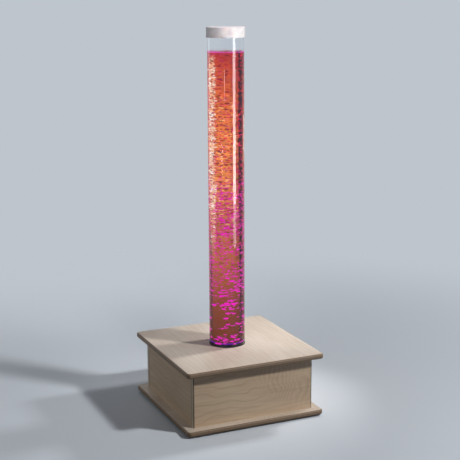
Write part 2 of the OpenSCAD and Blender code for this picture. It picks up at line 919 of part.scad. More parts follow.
// Two cups joined at a rim, with a hose barb at each end
module check_valve() {
    overall = check_l + 2 * check_barb_l;
    wall = 2;
    color("lightblue") translate([valve_inlet_x, 0, nozzle_z]) along_x() difference() {
        union() {
            cylinder(r = check_r, h = check_l);
            translate([0, 0, check_l / 2 - 1.5]) cylinder(r = check_r + 1.5, h = 3);
            translate([0, 0, -check_barb_l]) cylinder(r = barb_r, h = overall);
        }
        translate([0, 0, wall]) cylinder(r = check_r - wall, h = check_l - 2 * wall);
        translate([0, 0, -check_barb_l - 1]) cylinder(r = fitting_bore_r, h = overall + 2);
    }
}

// ---- ring lamp ----

// A round trough under the clear disc, with fins below and three lugs for its screws
module lamp_housing() {
    color("gray") difference() {
        union() {
            translate([0, 0, lamp_foot]) cylinder(r = lamp_r, h = lamp_h);
            for (i = [0:fin_count - 1]) rotate((i + 0.5) * 360 / fin_count)
                translate([lamp_bore_r + 2, -fin_t / 2, lamp_foot - fin_h])
                    cube([lamp_r - lamp_bore_r - 2.5, fin_t, fin_h + 1]);
            for (a = lug_angles) rotate(a) {
                translate([lug_at, 0, z_under_flange - lug_t]) cylinder(r = 5, h = lug_t);
                translate([lamp_r - 2, -5, z_under_flange - lug_t]) cube([lug_at - lamp_r + 2, 10, lug_t]);
            }
        }
        translate([0, 0, lamp_foot + lamp_floor])
            ring(lamp_r - lamp_wall, lamp_bore_r + lamp_wall, lamp_h);
        translate([0, 0, lamp_foot - fin_h - 1]) cylinder(r = lamp_bore_r, h = lamp_h + fin_h + 2);
        translate([lead_hole[0], lead_hole[1], lamp_foot - 1])
            cylinder(r = lead_hole_r, h = lamp_floor + 2);
        lamp_screws();
    }
}

module led_board() {
    edge_gap = 0.5;
    color("darkgreen") translate([0, 0, lamp_foot + lamp_floor])
        ring(lamp_r - lamp_wall - edge_gap, lamp_bore_r + lamp_wall + edge_gap, led_board_t);
}

module leds() {
    color("magenta") for (i = [0:led_count - 1]) rotate(i * 360 / led_count)
        translate([led_ring_r, 0, 0])
            block([led_side, led_side, led_t], lamp_foot + lamp_floor + led_board_t);
}

module lamp_screws() {
    color("silver") for (a = lug_angles) rotate(a)
        translate([lug_at, 0, z_under_flange - lug_t]) {
            translate([0, 0, -2.5]) cylinder(r = 2.75, h = 2.5);
            cylinder(r = m3_r, h = lug_t + 6);
        }
}

// ---- air pump ----

module pump_shell(h, floor_t, top_t) {
    difference() {
        linear_extrude(h) round_rect(pump_l, pump_w, pump_corner_r);
        translate([0, 0, floor_t]) linear_extrude(h - floor_t - top_t)
            round_rect(pump_l - 2 * pump_wall, pump_w - 2 * pump_wall, pump_corner_r - pump_wall);
    }
}

// The lower half of the case, with the post that the spring arm turns on
module pump_base() {
    arm_foot = nozzle_z - arm_h / 2 - arm_play;
    color("dimgray") {
        translate([pump_x, pump_y, pump_z]) pump_shell(pump_base_h, pump_wall, -1);
        translate([arm_x, pump_y, pump_floor - 1]) {
            cylinder(r = arm_boss_r, h = arm_foot - pump_floor + 1);
            cylinder(r = arm_post_r, h = arm_foot - pump_floor + arm_h + 3);
        }
    }
}

module pump_cover() {
    color("dimgray") difference() {
        translate([pump_x, pump_y, pump_z + pump_base_h]) pump_shell(pump_h - pump_base_h, -1, pump_wall);
        translate([nozzle_x, nozzle_y - pump_wall - 1, nozzle_z]) along_y()
            cylinder(r = barb_r, h = pump_wall + 2);
    }
}

module pump_feet() {
    color("black") for (c = corners)
        translate([pump_x + c[0] * (pump_l / 2 - 14), pump_y + c[1] * (pump_w / 2 - 12), z_box])
            cylinder(r = pump_foot_r, h = pump_foot_h);
}

// A U of laminated iron whose two poles face the magnet, on a foot
module pump_core() {
    color("slategray") translate([core_x, pump_y - core_size[1] / 2, pump_floor]) {
        cube([pole_t, core_size[1], core_lift + 1]);
        translate([0, 0, core_lift]) difference() {
            cube(core_size);
            translate([pole_t, pole_t, -1])
                cube([core_size[0], core_size[1] - 2 * pole_t, core_size[2] + 2]);
        }
    }
}

// One winding round each pole
module pump_coil() {
    pole_y = (core_size[1] - pole_t) / 2;
    mid_z = pump_floor + core_lift + core_size[2] / 2;
    color("chocolate") for (s = [-1, 1])
        translate([core_x + pole_t + 2, pump_y + s * pole_y, mid_z]) along_x() difference() {
            block([core_size[2] + 2 * coil_wall, pole_t + 2 * coil_wall, coil_l]);
            block([core_size[2], pole_t, coil_l + 2], -1);
        }
}

// An arm with a magnet at its free end, which swings about the post and pushes the bellows
module pump_lever() {
    arm_z = nozzle_z - arm_h / 2;
    magnet_x = core_x + core_size[0] + 2;
    blade_x = magnet_x + magnet_size[0] - 1;
    color("silver") difference() {
        union() {
            translate([arm_x, pump_y, arm_z]) cylinder(r = arm_boss_r, h = arm_h);
            translate([blade_x, pump_y - arm_t / 2, arm_z]) cube([arm_x - blade_x, arm_t, arm_h]);
            translate([magnet_x, pump_y - magnet_size[1] / 2, nozzle_z - magnet_size[2] / 2])
                cube(magnet_size);
            translate([nozzle_x, pump_y, nozzle_z]) along_y() cylinder(r = push_rod_r, h = push_rod_l);
        }
        translate([arm_x, pump_y, arm_z - 1]) cylinder(r = arm_post_r + running_gap, h = arm_h + 2);
    }
}

// A rubber bellows between the arm's push rod and the air chamber
module pump_bellows() {
    color("black") translate([nozzle_x, pump_y + push_rod_l, nozzle_z]) along_y()
        rotate_extrude() polygon([
            [0, 0], [7, 0], [7, 2], [10, 3.5], [7.5, 5.2], [12.5, 6.5], [12.5, 8.5],
            [8, 8.5], [6, 5.2], [8.2, 3.5], [5.5, 2], [0, 2]
        ]);
}

// The air chamber, which holds the valve flaps, and the nozzle that leaves the case
module pump_chamber() {
    back = nozzle_y - pump_wall;
    color("ivory") difference() {
        union() {
            translate([nozzle_x - chamber_w / 2, back - chamber_d, pump_floor])
                cube([chamber_w, chamber_d, nozzle_z - pump_floor + chamber_w / 2]);
            translate([nozzle_x, back - 1, nozzle_z]) along_y()
                cylinder(r = barb_r, h = nozzle_l + pump_wall + 1);
        }
        translate([nozzle_x, back - chamber_d - 1, nozzle_z]) along_y()
            cylinder(r = chamber_bore_r, h = chamber_bore_l + 1);
        translate([nozzle_x, back - chamber_d, nozzle_z]) along_y() cylinder(r = fitting_bore_r, h = 60);
    }
}

// ---- power supply, lamp controller and wiring ----

// The middle of each of a box's two fixing ears, at its ends along X
module at_ears(at, size) {
    for (s = [-1, 1]) translate([at[0] + s * (size[0] + ear_l) / 2, at[1], 0]) children();
}

// A closed plastic box on two ears, with a parting line and cooling ribs on its top
module equipment_box(at, size) {
    rib_t = 3;
    ribs = floor((size[1] - 12) / (2 * rib_t));
    difference() {
        union() {
            translate([at[0], at[1], z_box]) {
                linear_extrude(size[2] - 2) round_rect(size[0], size[1], 4);
                for (i = [0:ribs - 1])
                    translate([0, (i - (ribs - 1) / 2) * 2 * rib_t, 0])
                        block([size[0] - 12, rib_t, size[2]]);
            }
            at_ears(at, size) block([ear_l + 1, ear_w, ear_t], z_box);
        }
        plinth_screws();
    }
}

module power_supply() {
    color("black") equipment_box(supply_at, supply_size);
}

module lamp_controller() {
    color("dimgray") equipment_box(controller_at, controller_size);
}

module wiring() {
    color("black") {
        lead(mains_lead);
        lead(switch_lead, [1, 0.1, 0]);
        lead(low_voltage_lead);
        lead(lamp_lead, [1, -1, 0.3]);
        lead(pump_lead);
        lead(button_lead, [1, 0.3, 0.5]);
    }
}

bottom_board();
top_board();
front_panel();
rear_panel();
left_panel();
right_panel();
corner_posts();
plinth_screws();
top_dowels();
feet();
service_door();
hinge_frame_leaves();
hinge_door_leaves();
hinge_pins();
rear_panel_screws();
door_screws();
door_knob();
catch_magnet();
catch_plate();
control_plate();
power_inlet();
inlet_pins();
switch_body();
switch_rocker();
button_body();
colour_button();
tube();
cap();
water();
base_flange();
flange_gasket();
flange_screws();
threaded_inserts();
tube_seal();
air_fitting();
fitting_nuts();
fitting_seals();
air_stone();
air_hoses();
check_valve();
drain_elbow();
valve_body();
valve_ball();
valve_stem();
valve_lever();
lamp_housing();
led_board();
leds();
lamp_screws();
pump_base();
pump_cover();
pump_feet();
pump_core();
pump_coil();
pump_lever();
pump_bellows();
pump_chamber();
power_supply();
lamp_controller();
wiring();
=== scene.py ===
# %% [markdown]
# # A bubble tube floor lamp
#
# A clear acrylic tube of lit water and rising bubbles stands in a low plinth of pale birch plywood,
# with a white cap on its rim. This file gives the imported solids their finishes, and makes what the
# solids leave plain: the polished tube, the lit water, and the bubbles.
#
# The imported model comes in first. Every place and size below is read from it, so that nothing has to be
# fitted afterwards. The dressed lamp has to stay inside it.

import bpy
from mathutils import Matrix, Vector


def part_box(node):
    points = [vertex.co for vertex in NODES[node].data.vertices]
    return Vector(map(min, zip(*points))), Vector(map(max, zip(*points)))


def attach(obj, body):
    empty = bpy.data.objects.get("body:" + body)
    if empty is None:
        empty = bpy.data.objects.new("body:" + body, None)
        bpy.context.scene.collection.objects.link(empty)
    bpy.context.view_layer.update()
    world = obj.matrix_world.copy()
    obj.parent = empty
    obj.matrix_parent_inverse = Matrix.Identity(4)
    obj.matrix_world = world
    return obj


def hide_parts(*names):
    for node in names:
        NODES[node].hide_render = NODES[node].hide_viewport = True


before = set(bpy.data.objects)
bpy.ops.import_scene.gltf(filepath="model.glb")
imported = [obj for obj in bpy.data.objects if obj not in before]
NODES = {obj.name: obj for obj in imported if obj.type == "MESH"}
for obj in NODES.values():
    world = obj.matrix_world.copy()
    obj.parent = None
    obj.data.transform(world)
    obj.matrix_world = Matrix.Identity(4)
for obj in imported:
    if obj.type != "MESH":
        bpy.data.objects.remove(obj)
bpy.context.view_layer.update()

# %% Tools from Python and Blender
import math

import bpy
from mathutils import Matrix, Vector

MM = 0.001

# %% [markdown]
# ## Node trees written as sums
#
# A finish in Blender is a tree of nodes. Wired by hand, a sum takes ten lines. So one small class wraps a
# socket, and Python's own operators add the Math nodes. Every other node comes from one method, which
# takes the node's type, its settings and what goes into its sockets. The same class serves for Geometry
# Nodes further down.


# %% A socket that does sums
class Wire:
    """One output in a node tree."""

    def __init__(self, tree, socket=None):
        self.tree = tree
        self.socket = socket

    def node(self, kind, settings=None, inputs=None, out=0):
        """Adds a node, sets it up, feeds its sockets, and returns one of its outputs."""
        made = self.tree.nodes.new(kind)
        for name, value in (settings or {}).items():
            if name == "stops":
                set_stops(made.color_ramp, value)
            else:
                setattr(made, name, value)
        for key, value in (inputs or {}).items():
            if isinstance(value, Wire):
                self.tree.links.new(value.socket, made.inputs[key])
            else:
                made.inputs[key].default_value = value
        return Wire(self.tree, made.outputs[out])

    def maths(self, operation, *values, clamp=False):
        settings = {"operation": operation, "use_clamp": clamp}
        return self.node("ShaderNodeMath", settings, dict(enumerate(values)))

    def __add__(self, other):
        return self.maths("ADD", self, other)

    def __radd__(self, other):
        return self.maths("ADD", other, self)

    def __sub__(self, other):
        return self.maths("SUBTRACT", self, other)

    def __rsub__(self, other):
        return self.maths("SUBTRACT", other, self)

    def __mul__(self, other):
        return self.maths("MULTIPLY", self, other)

    def __rmul__(self, other):
        return self.maths("MULTIPLY", other, self)

    def __truediv__(self, other):
        return self.maths("DIVIDE", self, other)

    def __pow__(self, other):
        return self.maths("POWER", self, other)

    def __abs__(self):
        return self.maths("ABSOLUTE", self)

    def step(self, low, high, soft="SMOOTHSTEP"):
        """0 below low, 1 above high, and a smooth rise between. Where low is above high, it falls."""
        inputs = {"Value": self, "From Min": low, "From Max": high}
        return self.node("ShaderNodeMapRange", {"interpolation_type": soft}, inputs)

    def point(self, x, y, z):
        """Three numbers as one place, size or turn."""
        return self.node("ShaderNodeCombineXYZ", None, {0: x, 1: y, 2: z})

    def mix(self, first, second):
        """The first colour where this wire is 0, and the second where it is 1."""
        settings = {"data_type": "RGBA", "clamp_factor": True}
        return self.node("ShaderNodeMix", settings, {0: self, 6: first, 7: second}, out=2)


def set_stops(ramp, stops):
    """Gives a colour ramp its (place, colour) stops."""
    while len(ramp.elements) < len(stops):
        ramp.elements.new(1.0)
    for element, (place, colour) in zip(ramp.elements, stops):
        element.position = place
        element.color = colour


def paint(red, green, blue):
    """A colour as a painter would name it on a screen, from 0 to 255, in Blender's linear light."""
    screen = [value / 255 for value in (red, green, blue)]
    linear = [s / 12.92 if s <= 0.04045 else ((s + 0.055) / 1.055) ** 2.4 for s in screen]
    return (*linear, 1.0)


# %% [markdown]
# ## One way to start every finish
#
# Every finish starts the same way: a Principled shader on a new material, and the object's own
# coordinates in metres. What is the same all over goes on the shader's own sockets, and what varies is
# wired in.


# %% A finish and its places
class Finish:
    """A material with one Principled shader."""

    def __init__(self, name, **constants):
        self.material = bpy.data.materials.new(name)
        self.material.use_nodes = True
        self.tree = self.material.node_tree
        self.shader = self.tree.nodes["Principled BSDF"]
        self.pen = Wire(self.tree)
        self.place = self.pen.node("ShaderNodeTexCoord", out="Object")
        self.set(**constants)

    def set(self, **values):
        """Sets or feeds the shader's sockets. Base_Color stands for Base Color, and so on."""
        for key, value in values.items():
            socket = self.shader.inputs[key.replace("_", " ")]
            if isinstance(value, Wire):
                self.tree.links.new(value.socket, socket)
            else:
                socket.default_value = value
        return self

    def axes(self):
        """The place as three numbers."""
        split = self.pen.node("ShaderNodeSeparateXYZ", inputs={0: self.place})
        outs = split.socket.node.outputs
        return [Wire(self.tree, outs[i]) for i in range(3)]

    def normal_up(self):
        """How far the surface looks up, from -1 to 1, in the object's own frame."""
        facing = self.pen.node("ShaderNodeTexCoord", out="Normal")
        return self.pen.node("ShaderNodeSeparateXYZ", inputs={0: facing}, out=2)

    def cells(self, where):
        """How far the nearest of many scattered points is, and a random number for that point."""
        distance = self.pen.node("ShaderNodeTexVoronoi", None, {"Vector": where, "Scale": 1.0})
        colour = Wire(self.tree, distance.socket.node.outputs["Color"])
        return distance, self.pen.node("ShaderNodeSeparateXYZ", inputs={0: colour})

    def noise(self, where=None, scale=1.0, detail=2.0, rough=0.5, warp=0.0):
        inputs = {
            "Vector": where or self.place,
            "Scale": scale,
            "Detail": detail,
            "Roughness": rough,
            "Distortion": warp,
        }
        return self.pen.node("ShaderNodeTexNoise", None, inputs)

    def stretched(self, x, y, z):
        """The place, stretched: a number is how many features there are to the metre that way."""
        settings = {"operation": "MULTIPLY"}
        return self.pen.node("ShaderNodeVectorMath", settings, {0: self.place, 1: (x, y, z)})

    def bump(self, height, depth, strength=1.0):
        """Raises the surface by height times depth, in metres."""
        inputs = {"Height": height, "Distance": depth, "Strength": strength}
        self.set(Normal=self.pen.node("ShaderNodeBump", None, inputs))
        return self


# %% [markdown]
# ## The camera
#
# The camera stands 3 m off, to the left of the front, with a long lens, and looks down. These numbers were
# found by fitting the rounded outlines of the boards, the box, the tube and the cap to the photograph. The
# small roll and pan are part of that fit.

# %% The camera
VIEW_AZIMUTH = math.radians(-23.9333)
VIEW_PAN = math.radians(-0.1832)
VIEW_PITCH = math.radians(12.5053)
VIEW_ROLL = math.radians(-0.2601)
VIEW_DISTANCE = 3.0
EYE_HEIGHT = 1.1742
LENS_MM = 86.539
SENSOR_MM = 36
FAR_CLIP = 500.0

look = VIEW_AZIMUTH + VIEW_PAN
level_ahead = Vector((-math.sin(look), math.cos(look), 0))
level_right = Vector((math.cos(look), math.sin(look), 0))
overhead = Vector((0, 0, 1))
ahead = level_ahead * math.cos(VIEW_PITCH) - overhead * math.sin(VIEW_PITCH)
level_up = overhead * math.cos(VIEW_PITCH) + level_ahead * math.sin(VIEW_PITCH)
right = level_right * math.cos(VIEW_ROLL) + level_up * math.sin(VIEW_ROLL)
up = level_up * math.cos(VIEW_ROLL) - level_right * math.sin(VIEW_ROLL)


def put(name, data):
    """A new object in the scene."""
    thing = bpy.data.objects.new(name, data)
    bpy.context.collection.objects.link(thing)
    return thing


camera_data = bpy.data.cameras.new("camera")
camera_data.lens = LENS_MM
camera_data.sensor_width = SENSOR_MM
camera_data.clip_end = FAR_CLIP
camera = put("camera", camera_data)
turn = Matrix((right, up, -ahead)).transposed()
stand = Vector((math.sin(VIEW_AZIMUTH), -math.cos(VIEW_AZIMUTH), 0)) * VIEW_DISTANCE
camera.matrix_world = Matrix.Translation(stand + overhead * EYE_HEIGHT) @ turn.to_4x4()
bpy.context.scene.camera = camera
print("camera at", [round(c, 3) for c in camera.matrix_world.translation])

# %% [markdown]
# ## The studio
#
# A plain pale floor takes the lamp's shadow and runs out into a backdrop. Within two metres it has turned
# into that backdrop, so no horizon shows from any side. The camera sees them pale, also through glass and
# in metal. The light that they throw on the lamp comes from much darker ones, or it would fill the shadow
# under the top board. The Light Path node tells the two kinds of ray apart.

# %% Floor and backdrop
AMBIENT = 0.12
BACKDROP = paint(190, 197, 205)
BACKDROP_BOUNCE = (*[AMBIENT * value for value in BACKDROP[:3]], 1.0)
FLOOR = paint(226, 233, 241)
FLOOR_BOUNCE = paint(96, 98, 102)
FLOOR_HALF = 60.0
FADE_START = 0.5
FADE_END = 1.9


def plane(name, half):
    """A level square on the floor, half of whose side is given."""
    corners = [(-half, -half, 0), (half, -half, 0), (half, half, 0), (-half, half, 0)]
    mesh = bpy.data.meshes.new(name)
    mesh.from_pydata(corners, [], [(0, 1, 2, 3)])
    return put(name, mesh)


def seen_rays(pen):
    """1 for what the camera sees, also through glass or in a mirror, and 0 for the light on things."""
    path = pen.node("ShaderNodeLightPath").socket.node.outputs
    kinds = ("Is Camera Ray", "Is Glossy Ray", "Is Transmission Ray")
    straight, mirrored, through = [Wire(pen.tree, path[kind]) for kind in kinds]
    return pen.maths("MAXIMUM", pen.maths("MAXIMUM", straight, mirrored), through)


floor = plane("studio_floor", FLOOR_HALF)
floor_finish = Finish("studio_floor", Roughness=0.9, Specular_IOR_Level=0.1)
floor_pen = floor_finish.pen
floor_seen = seen_rays(floor_pen)
floor_finish.set(Base_Color=floor_seen.mix(FLOOR_BOUNCE, FLOOR))
ground = Wire(floor_finish.tree, floor_finish.shader.outputs[0])
far_colour = floor_seen.mix(BACKDROP_BOUNCE, BACKDROP)
glow = floor_pen.node("ShaderNodeEmission", None, {"Color": far_colour, "Strength": 1.0})
reach = floor_pen.node("ShaderNodeVectorMath", {"operation": "LENGTH"}, {0: floor_finish.place}, out=1)
fade = reach.step(FADE_START, FADE_END)
blended = floor_pen.node("ShaderNodeMixShader", None, {0: fade, 1: ground, 2: glow})
floor_out = floor_finish.tree.nodes["Material Output"]
floor_finish.tree.links.new(blended.socket, floor_out.inputs["Surface"])
floor.data.materials.append(floor_finish.material)

world = bpy.data.worlds.new("studio")
bpy.context.scene.world = world
world.use_nodes = True
shown = seen_rays(Wire(world.node_tree))
background = world.node_tree.nodes["Background"]
background.inputs["Color"].default_value = BACKDROP
world.node_tree.links.new((AMBIENT + shown * (1 - AMBIENT)).socket, background.inputs["Strength"])

# %% [markdown]
# Six soft boxes light the lamp. A front key stands high at the right, so that the top board's overhang
# draws a crisp band of shadow on the front panel. A side key stands near and low: it lights the top board
# most on the right, and throws the tube's shadow across it. The other four are weak. They lift the tube's
# left edge, the rear, the cap and the left side.
#
# The strips work the other way round: they light nothing, and only show as reflections. The first three
# stand over each other and draw the long upright line of light on the tube, which is strongest in the
# middle and fades at its lower end. The last three draw the short fine lines beside it.


# %% Soft boxes
WIDE_OPEN = 180
SOFT_BOXES = [
    # name, azimuth, distance, height, size, power, height of the aim, beam, mirrored
    ("front_key", 42, 2.7, 2.5, (0.3, 0.3), 70, 0.15, WIDE_OPEN, False),
    ("edge_box", -150, 2.2, 1.0, (0.8, 1.6), 4, 0.6, WIDE_OPEN, True),
    ("rear_fill", 172, 2.2, 0.9, (0.8, 0.8), 6, 0.1, WIDE_OPEN, False),
    ("cap_box", -5, 1.1, 2.0, (0.4, 0.4), 0.66, 1.05, 30, False),
    ("left_fill", -100, 2.2, 0.5, (0.8, 0.6), 3.0, 0.1, WIDE_OPEN, False),
    ("side_key", 92, 0.75, 0.7, (0.12, 0.12), 0.8, 0.2, 64, False),
]


def soft_box(name, azimuth, distance, height, size, power, aim, beam, mirrored):
    """A rectangular lamp that looks at a point on the tube's axis, at the height aim.

    Azimuth 0 is in front. Azimuth and beam are in degrees.
    """
    lamp = bpy.data.lights.new(name, "AREA")
    lamp.shape = "RECTANGLE"
    lamp.size, lamp.size_y = size
    lamp.energy = power
    lamp.spread = math.radians(beam)
    thing = put(name, lamp)
    angle = math.radians(azimuth)
    spot = Vector((math.sin(angle) * distance, -math.cos(angle) * distance, height))
    facing = (Vector((0, 0, aim)) - spot).to_track_quat("-Z", "Y")
    thing.matrix_world = Matrix.Translation(spot) @ facing.to_matrix().to_4x4()
    thing.visible_camera = False
    thing.visible_glossy = mirrored
    thing.visible_transmission = False
    return thing


for settings in SOFT_BOXES:
    soft_box(*settings)

# %% Strips
STRIP_DISTANCE = 1.5
STRIPS = [
    # azimuth, middle height, width, length, strength
    (28.7, 0.80, 0.50, 0.40, 11),
    (28.7, 0.45, 0.50, 0.30, 15),
    (28.7, 0.21, 0.50, 0.18, 5),
    (-32.0, 0.785, 0.06, 0.13, 7),
    (-50.4, 0.485, 0.06, 0.13, 12),
    (124.0, 0.58, 0.30, 0.16, 2),
]
for number, (azimuth, height, width, length, strength) in enumerate(STRIPS):
    power = strength * math.pi * width * length
    stand_at = (azimuth, STRIP_DISTANCE, height)
    strip = soft_box(f"strip_{number}", *stand_at, (width, length), power, height, WIDE_OPEN, True)
    strip.visible_diffuse = False
print(len(SOFT_BOXES), "soft boxes and", len(STRIPS), "strips")

# %% [markdown]
# ## Birch plywood
#
# The plinth is birch plywood: eleven thin layers, glued with their grain crossed. The outside veneer is
# peeled from the log, so its growth rings show as wandering contour lines, drawn out along the grain, and
# some of it has a fine curl across the grain. Where an edge is cut or rounded, the layers show as light
# and dark lines.
#
# All of it follows from a place in the sheet: how far along the grain, how far across, and how deep.
# The contour lines are the level lines of a smooth noise. The layers are counted from the sheet's middle,
# so a rounded edge and the wall of a hole cut through them as a router would.

# %% The plywood recipe
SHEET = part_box("top_board")[1].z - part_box("top_board")[0].z
LAYERS = 11
BOARD_FACE = (paint(230, 217, 202), paint(206, 190, 172))
PANEL_FACE = (paint(226, 201, 172), paint(202, 174, 144))
RING_LINE = paint(168, 132, 100)
BOARD_EDGE = (paint(108, 86, 66), paint(176, 150, 122))
PANEL_EDGE = (paint(214, 194, 166), paint(238, 222, 198))
GLUE_LINE = paint(66, 50, 38)
ARRIS = paint(64, 50, 38)
RINGS_TO_THE_METRE = 46
RING_WANDER = 2.6
CURL_STEEPNESS = 470
CURL_WANDER = 46


def birch(name, along, across, through, middle, seed, rings, curl, panel, arris):
    """Birch ply.

    along, across and through are the numbers of the sheet's axes, and middle is its middle plane. rings
    and curl say how strongly they show. panel is False for a board, whose edges are darker. arris is the
    axis and the distance of two edges drawn dark, or None.
    """
    finish = Finish(name, Roughness=0.5, Specular_IOR_Level=0.4)
    place = finish.axes()
    grain, side = place[along], place[across]
    depth = abs(place[through] - middle)
    surface = SHEET / 2

    def veneer(features_along, features_across, shift, detail):
        """A noise in the sheet, with so many features to the metre each way."""
        lift = place[through] * 3 + (seed + shift)
        where = finish.pen.point(grain * features_along, side * features_across, lift)
        return finish.noise(where, detail=detail)

    streak = veneer(10, 150, 0.0, 3.0)
    fibre = veneer(50, 1300, 0.0, 1.0)
    cloud = veneer(5, 9, 3.0, 1.0)
    patch = veneer(4, 3, 5.0, 0.0).step(0.44, 0.56)
    contour = side * RINGS_TO_THE_METRE + veneer(11, 12, 7.0, 1.5) * RING_WANDER
    ring = abs(contour.maths("FRACT", contour) - 0.5).step(0.4, 0.5)
    ripple_at = grain * CURL_STEEPNESS + veneer(9, 14, 9.0, 2.0) * CURL_WANDER
    ripple = ripple_at.maths("SINE", ripple_at) * 0.5 + 0.5
    shade = streak.step(0.3, 0.72) * 0.45 + fibre * 0.2 + cloud.step(0.3, 0.7) * 0.35
    face = shade.mix(*(PANEL_FACE if panel else BOARD_FACE))
    face = (ring * patch * rings).mix(face, RING_LINE)
    face = (ripple * (1 - patch) * cloud.step(0.3, 0.6) * curl).mix(face, RING_LINE)

    count = (depth / (SHEET / LAYERS)) + 0.5
    index = count.maths("FLOOR", count)
    odd = index.maths("MODULO", index, 2.0).step(0.4, 0.6, "LINEAR")
    glue = abs(count.maths("FRACT", count) - 0.5).step(0.42, 0.5)
    cut_grain = finish.noise(finish.stretched(260, 260, 260), detail=2.0)
    layers = (odd * 0.85 + cut_grain * 0.3 - 0.15).mix(*(PANEL_EDGE if panel else BOARD_EDGE))
    layers = (glue * 0.6).mix(layers, GLUE_LINE)
    skin = depth.step(surface - 0.6 * MM, surface - 0.15 * MM)
    colour = skin.mix(layers, face)
    if arris:
        axis, edge = arris
        outer = abs(place[axis]).step(edge - 3.0 * MM, edge - 2.0 * MM)
        corner = outer * depth.step(surface - 3.4 * MM, surface - 2.2 * MM)
        colour = (corner * 0.85).mix(colour, ARRIS)
    finish.set(Base_Color=colour, Roughness=0.42 + streak * 0.16)
    finish.bump(streak * 0.5 + fibre * 0.5 - ring * 0.3, 0.1 * MM, 0.4)
    return finish.material


# %% [markdown]
# Each board and panel is cut from another part of the sheet, so each gets its own seed. The door is sawn
# out of the rear panel and shares its seed. The front and rear panels run over the ends of the side panels,
# and their upright arrises are drawn dark.


# %% Dressing the plinth
def dress(node, material):
    """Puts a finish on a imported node."""
    for slot in NODES[node].material_slots:
        slot.material = material


def middle_of(node, axis):
    low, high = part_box(node)
    return (low[axis] + high[axis]) / 2


DARK_ARRISES = (0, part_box("front_panel")[1].x)
SHEETS = {
    # node: along, across, through, seed, rings, curl, panel, arris
    "top_board": (1, 0, 2, 1.3, 0.12, 0.16, False, None),
    "bottom_board": (0, 1, 2, 4.1, 0.20, 0.20, False, None),
    "front_panel": (0, 2, 1, 2.7, 0.36, 0.30, True, DARK_ARRISES),
    "rear_panel": (0, 2, 1, 7.9, 0.36, 0.30, True, DARK_ARRISES),
    "left_panel": (1, 2, 0, 5.2, 0.30, 0.15, True, None),
    "right_panel": (1, 2, 0, 6.6, 0.30, 0.15, True, None),
    "service_door": (0, 2, 1, 7.9, 0.34, 0.30, True, None),
}
for node, (along, across, through, *figure) in SHEETS.items():
    middle = middle_of(node, through)
    dress(node, birch("ply_" + node, along, across, through, middle, *figure))
print(len(SHEETS), "pieces of plywood")

# %% [markdown]
# ## The other finishes
#
# The rest of the solids keep their shapes. Each finish still has what its material shows close to: pores
# in pine, flecks in beech, a turned or brushed grain in metal, and the faint grain of moulded plastic. A
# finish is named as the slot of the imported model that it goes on. The tables give each one's own numbers,
# with its two colours first.


# %% Woods, metals and plastics
WOODS = {
    # name: light, dark, axis of the grain, scale of the rings
    "pine": ((226, 196, 146), (190, 146, 92), 2, 1.0),
    "beech": ((216, 176, 132), (184, 138, 96), 1, 1.6),
}
EVEN_GRAIN = (300, 300, 300)
METALS = {
    # name: clean, worn, roughness, grain to the metre each way, depth of the grain in millimetres
    "zinc_steel": ((198, 200, 204), (150, 152, 158), 0.28, EVEN_GRAIN, 0.1),
    "brass": ((214, 176, 96), (168, 128, 62), 0.26, (250, 250, 900), 0.1),
    "nickel": ((206, 202, 194), (160, 156, 150), 0.16, EVEN_GRAIN, 0.1),
    "cast_aluminium": ((190, 192, 196), (140, 142, 148), 0.42, EVEN_GRAIN, 0.3),
    "plate_aluminium": ((206, 208, 212), (172, 174, 180), 0.30, (30, 30, 2400), 0.1),
    "laminated_iron": ((120, 122, 128), (62, 60, 62), 0.45, (20, 20, 2200), 0.1),
    "copper_winding": ((196, 108, 62), (120, 58, 34), 0.30, (60, 2600, 60), 0.1),
}
PLASTICS = {
    # name: colour, shade, roughness, grain to the metre
    "black_rubber": ((30, 30, 32), (18, 18, 20), 0.62, 1300),
    "black_plastic": ((38, 38, 41), (26, 26, 29), 0.36, 900),
    "grey_plastic": ((128, 132, 138), (112, 116, 122), 0.40, 900),
    "red_plastic": ((196, 34, 30), (164, 24, 24), 0.28, 900),
    "blue_plastic": ((42, 92, 176), (30, 70, 146), 0.30, 900),
    "air_stone": ((118, 128, 138), (74, 84, 96), 0.80, 420),
    "circuit_board": ((236, 238, 236), (214, 218, 214), 0.30, 300),
}


def wood(name, light, dark, along, scale):
    """Solid wood, with its rings drawn out along one axis."""
    finish = Finish(name, Roughness=0.55)
    stretch = [90 * scale] * 3
    stretch[along] = 5 * scale
    rings = finish.noise(finish.stretched(*stretch), detail=3.0, warp=0.6)
    pores = finish.noise(finish.stretched(*[s * 9 for s in stretch]), detail=1.0)
    shade = rings.step(0.35, 0.65) * 0.8 + pores * 0.2
    finish.set(Base_Color=shade.mix(paint(*light), paint(*dark)), Roughness=0.45 + rings * 0.2)
    return finish.bump(rings + pores, 0.1 * MM, 0.4).material


def metal(name, clean, worn, rough, stretch, depth):
    """Metal with a brushed or cast grain, and spots where the skin has dulled."""
    finish = Finish(name, Metallic=1.0)
    grain = finish.noise(finish.stretched(*stretch), detail=3.0)
    dull = finish.noise(scale=45, detail=3.0).step(0.45, 0.75)
    finish.set(Base_Color=(dull * 0.6 + grain * 0.3).mix(paint(*clean), paint(*worn)))
    finish.set(Roughness=rough + grain * 0.15 + dull * 0.12)
    return finish.bump(grain, depth * MM, 0.35).material


def plastic(name, colour, shade, rough, grain):
    """Moulded plastic or rubber, with the fine grain of its mould."""
    finish = Finish(name)
    spark = finish.noise(scale=grain, detail=1.0)
    cloud = finish.noise(scale=18, detail=2.0)
    finish.set(Base_Color=(cloud * 0.7 + spark * 0.3).mix(paint(*colour), paint(*shade)))
    finish.set(Roughness=rough + spark * 0.18)
    return finish.bump(spark, 0.05 * MM, 0.35).material


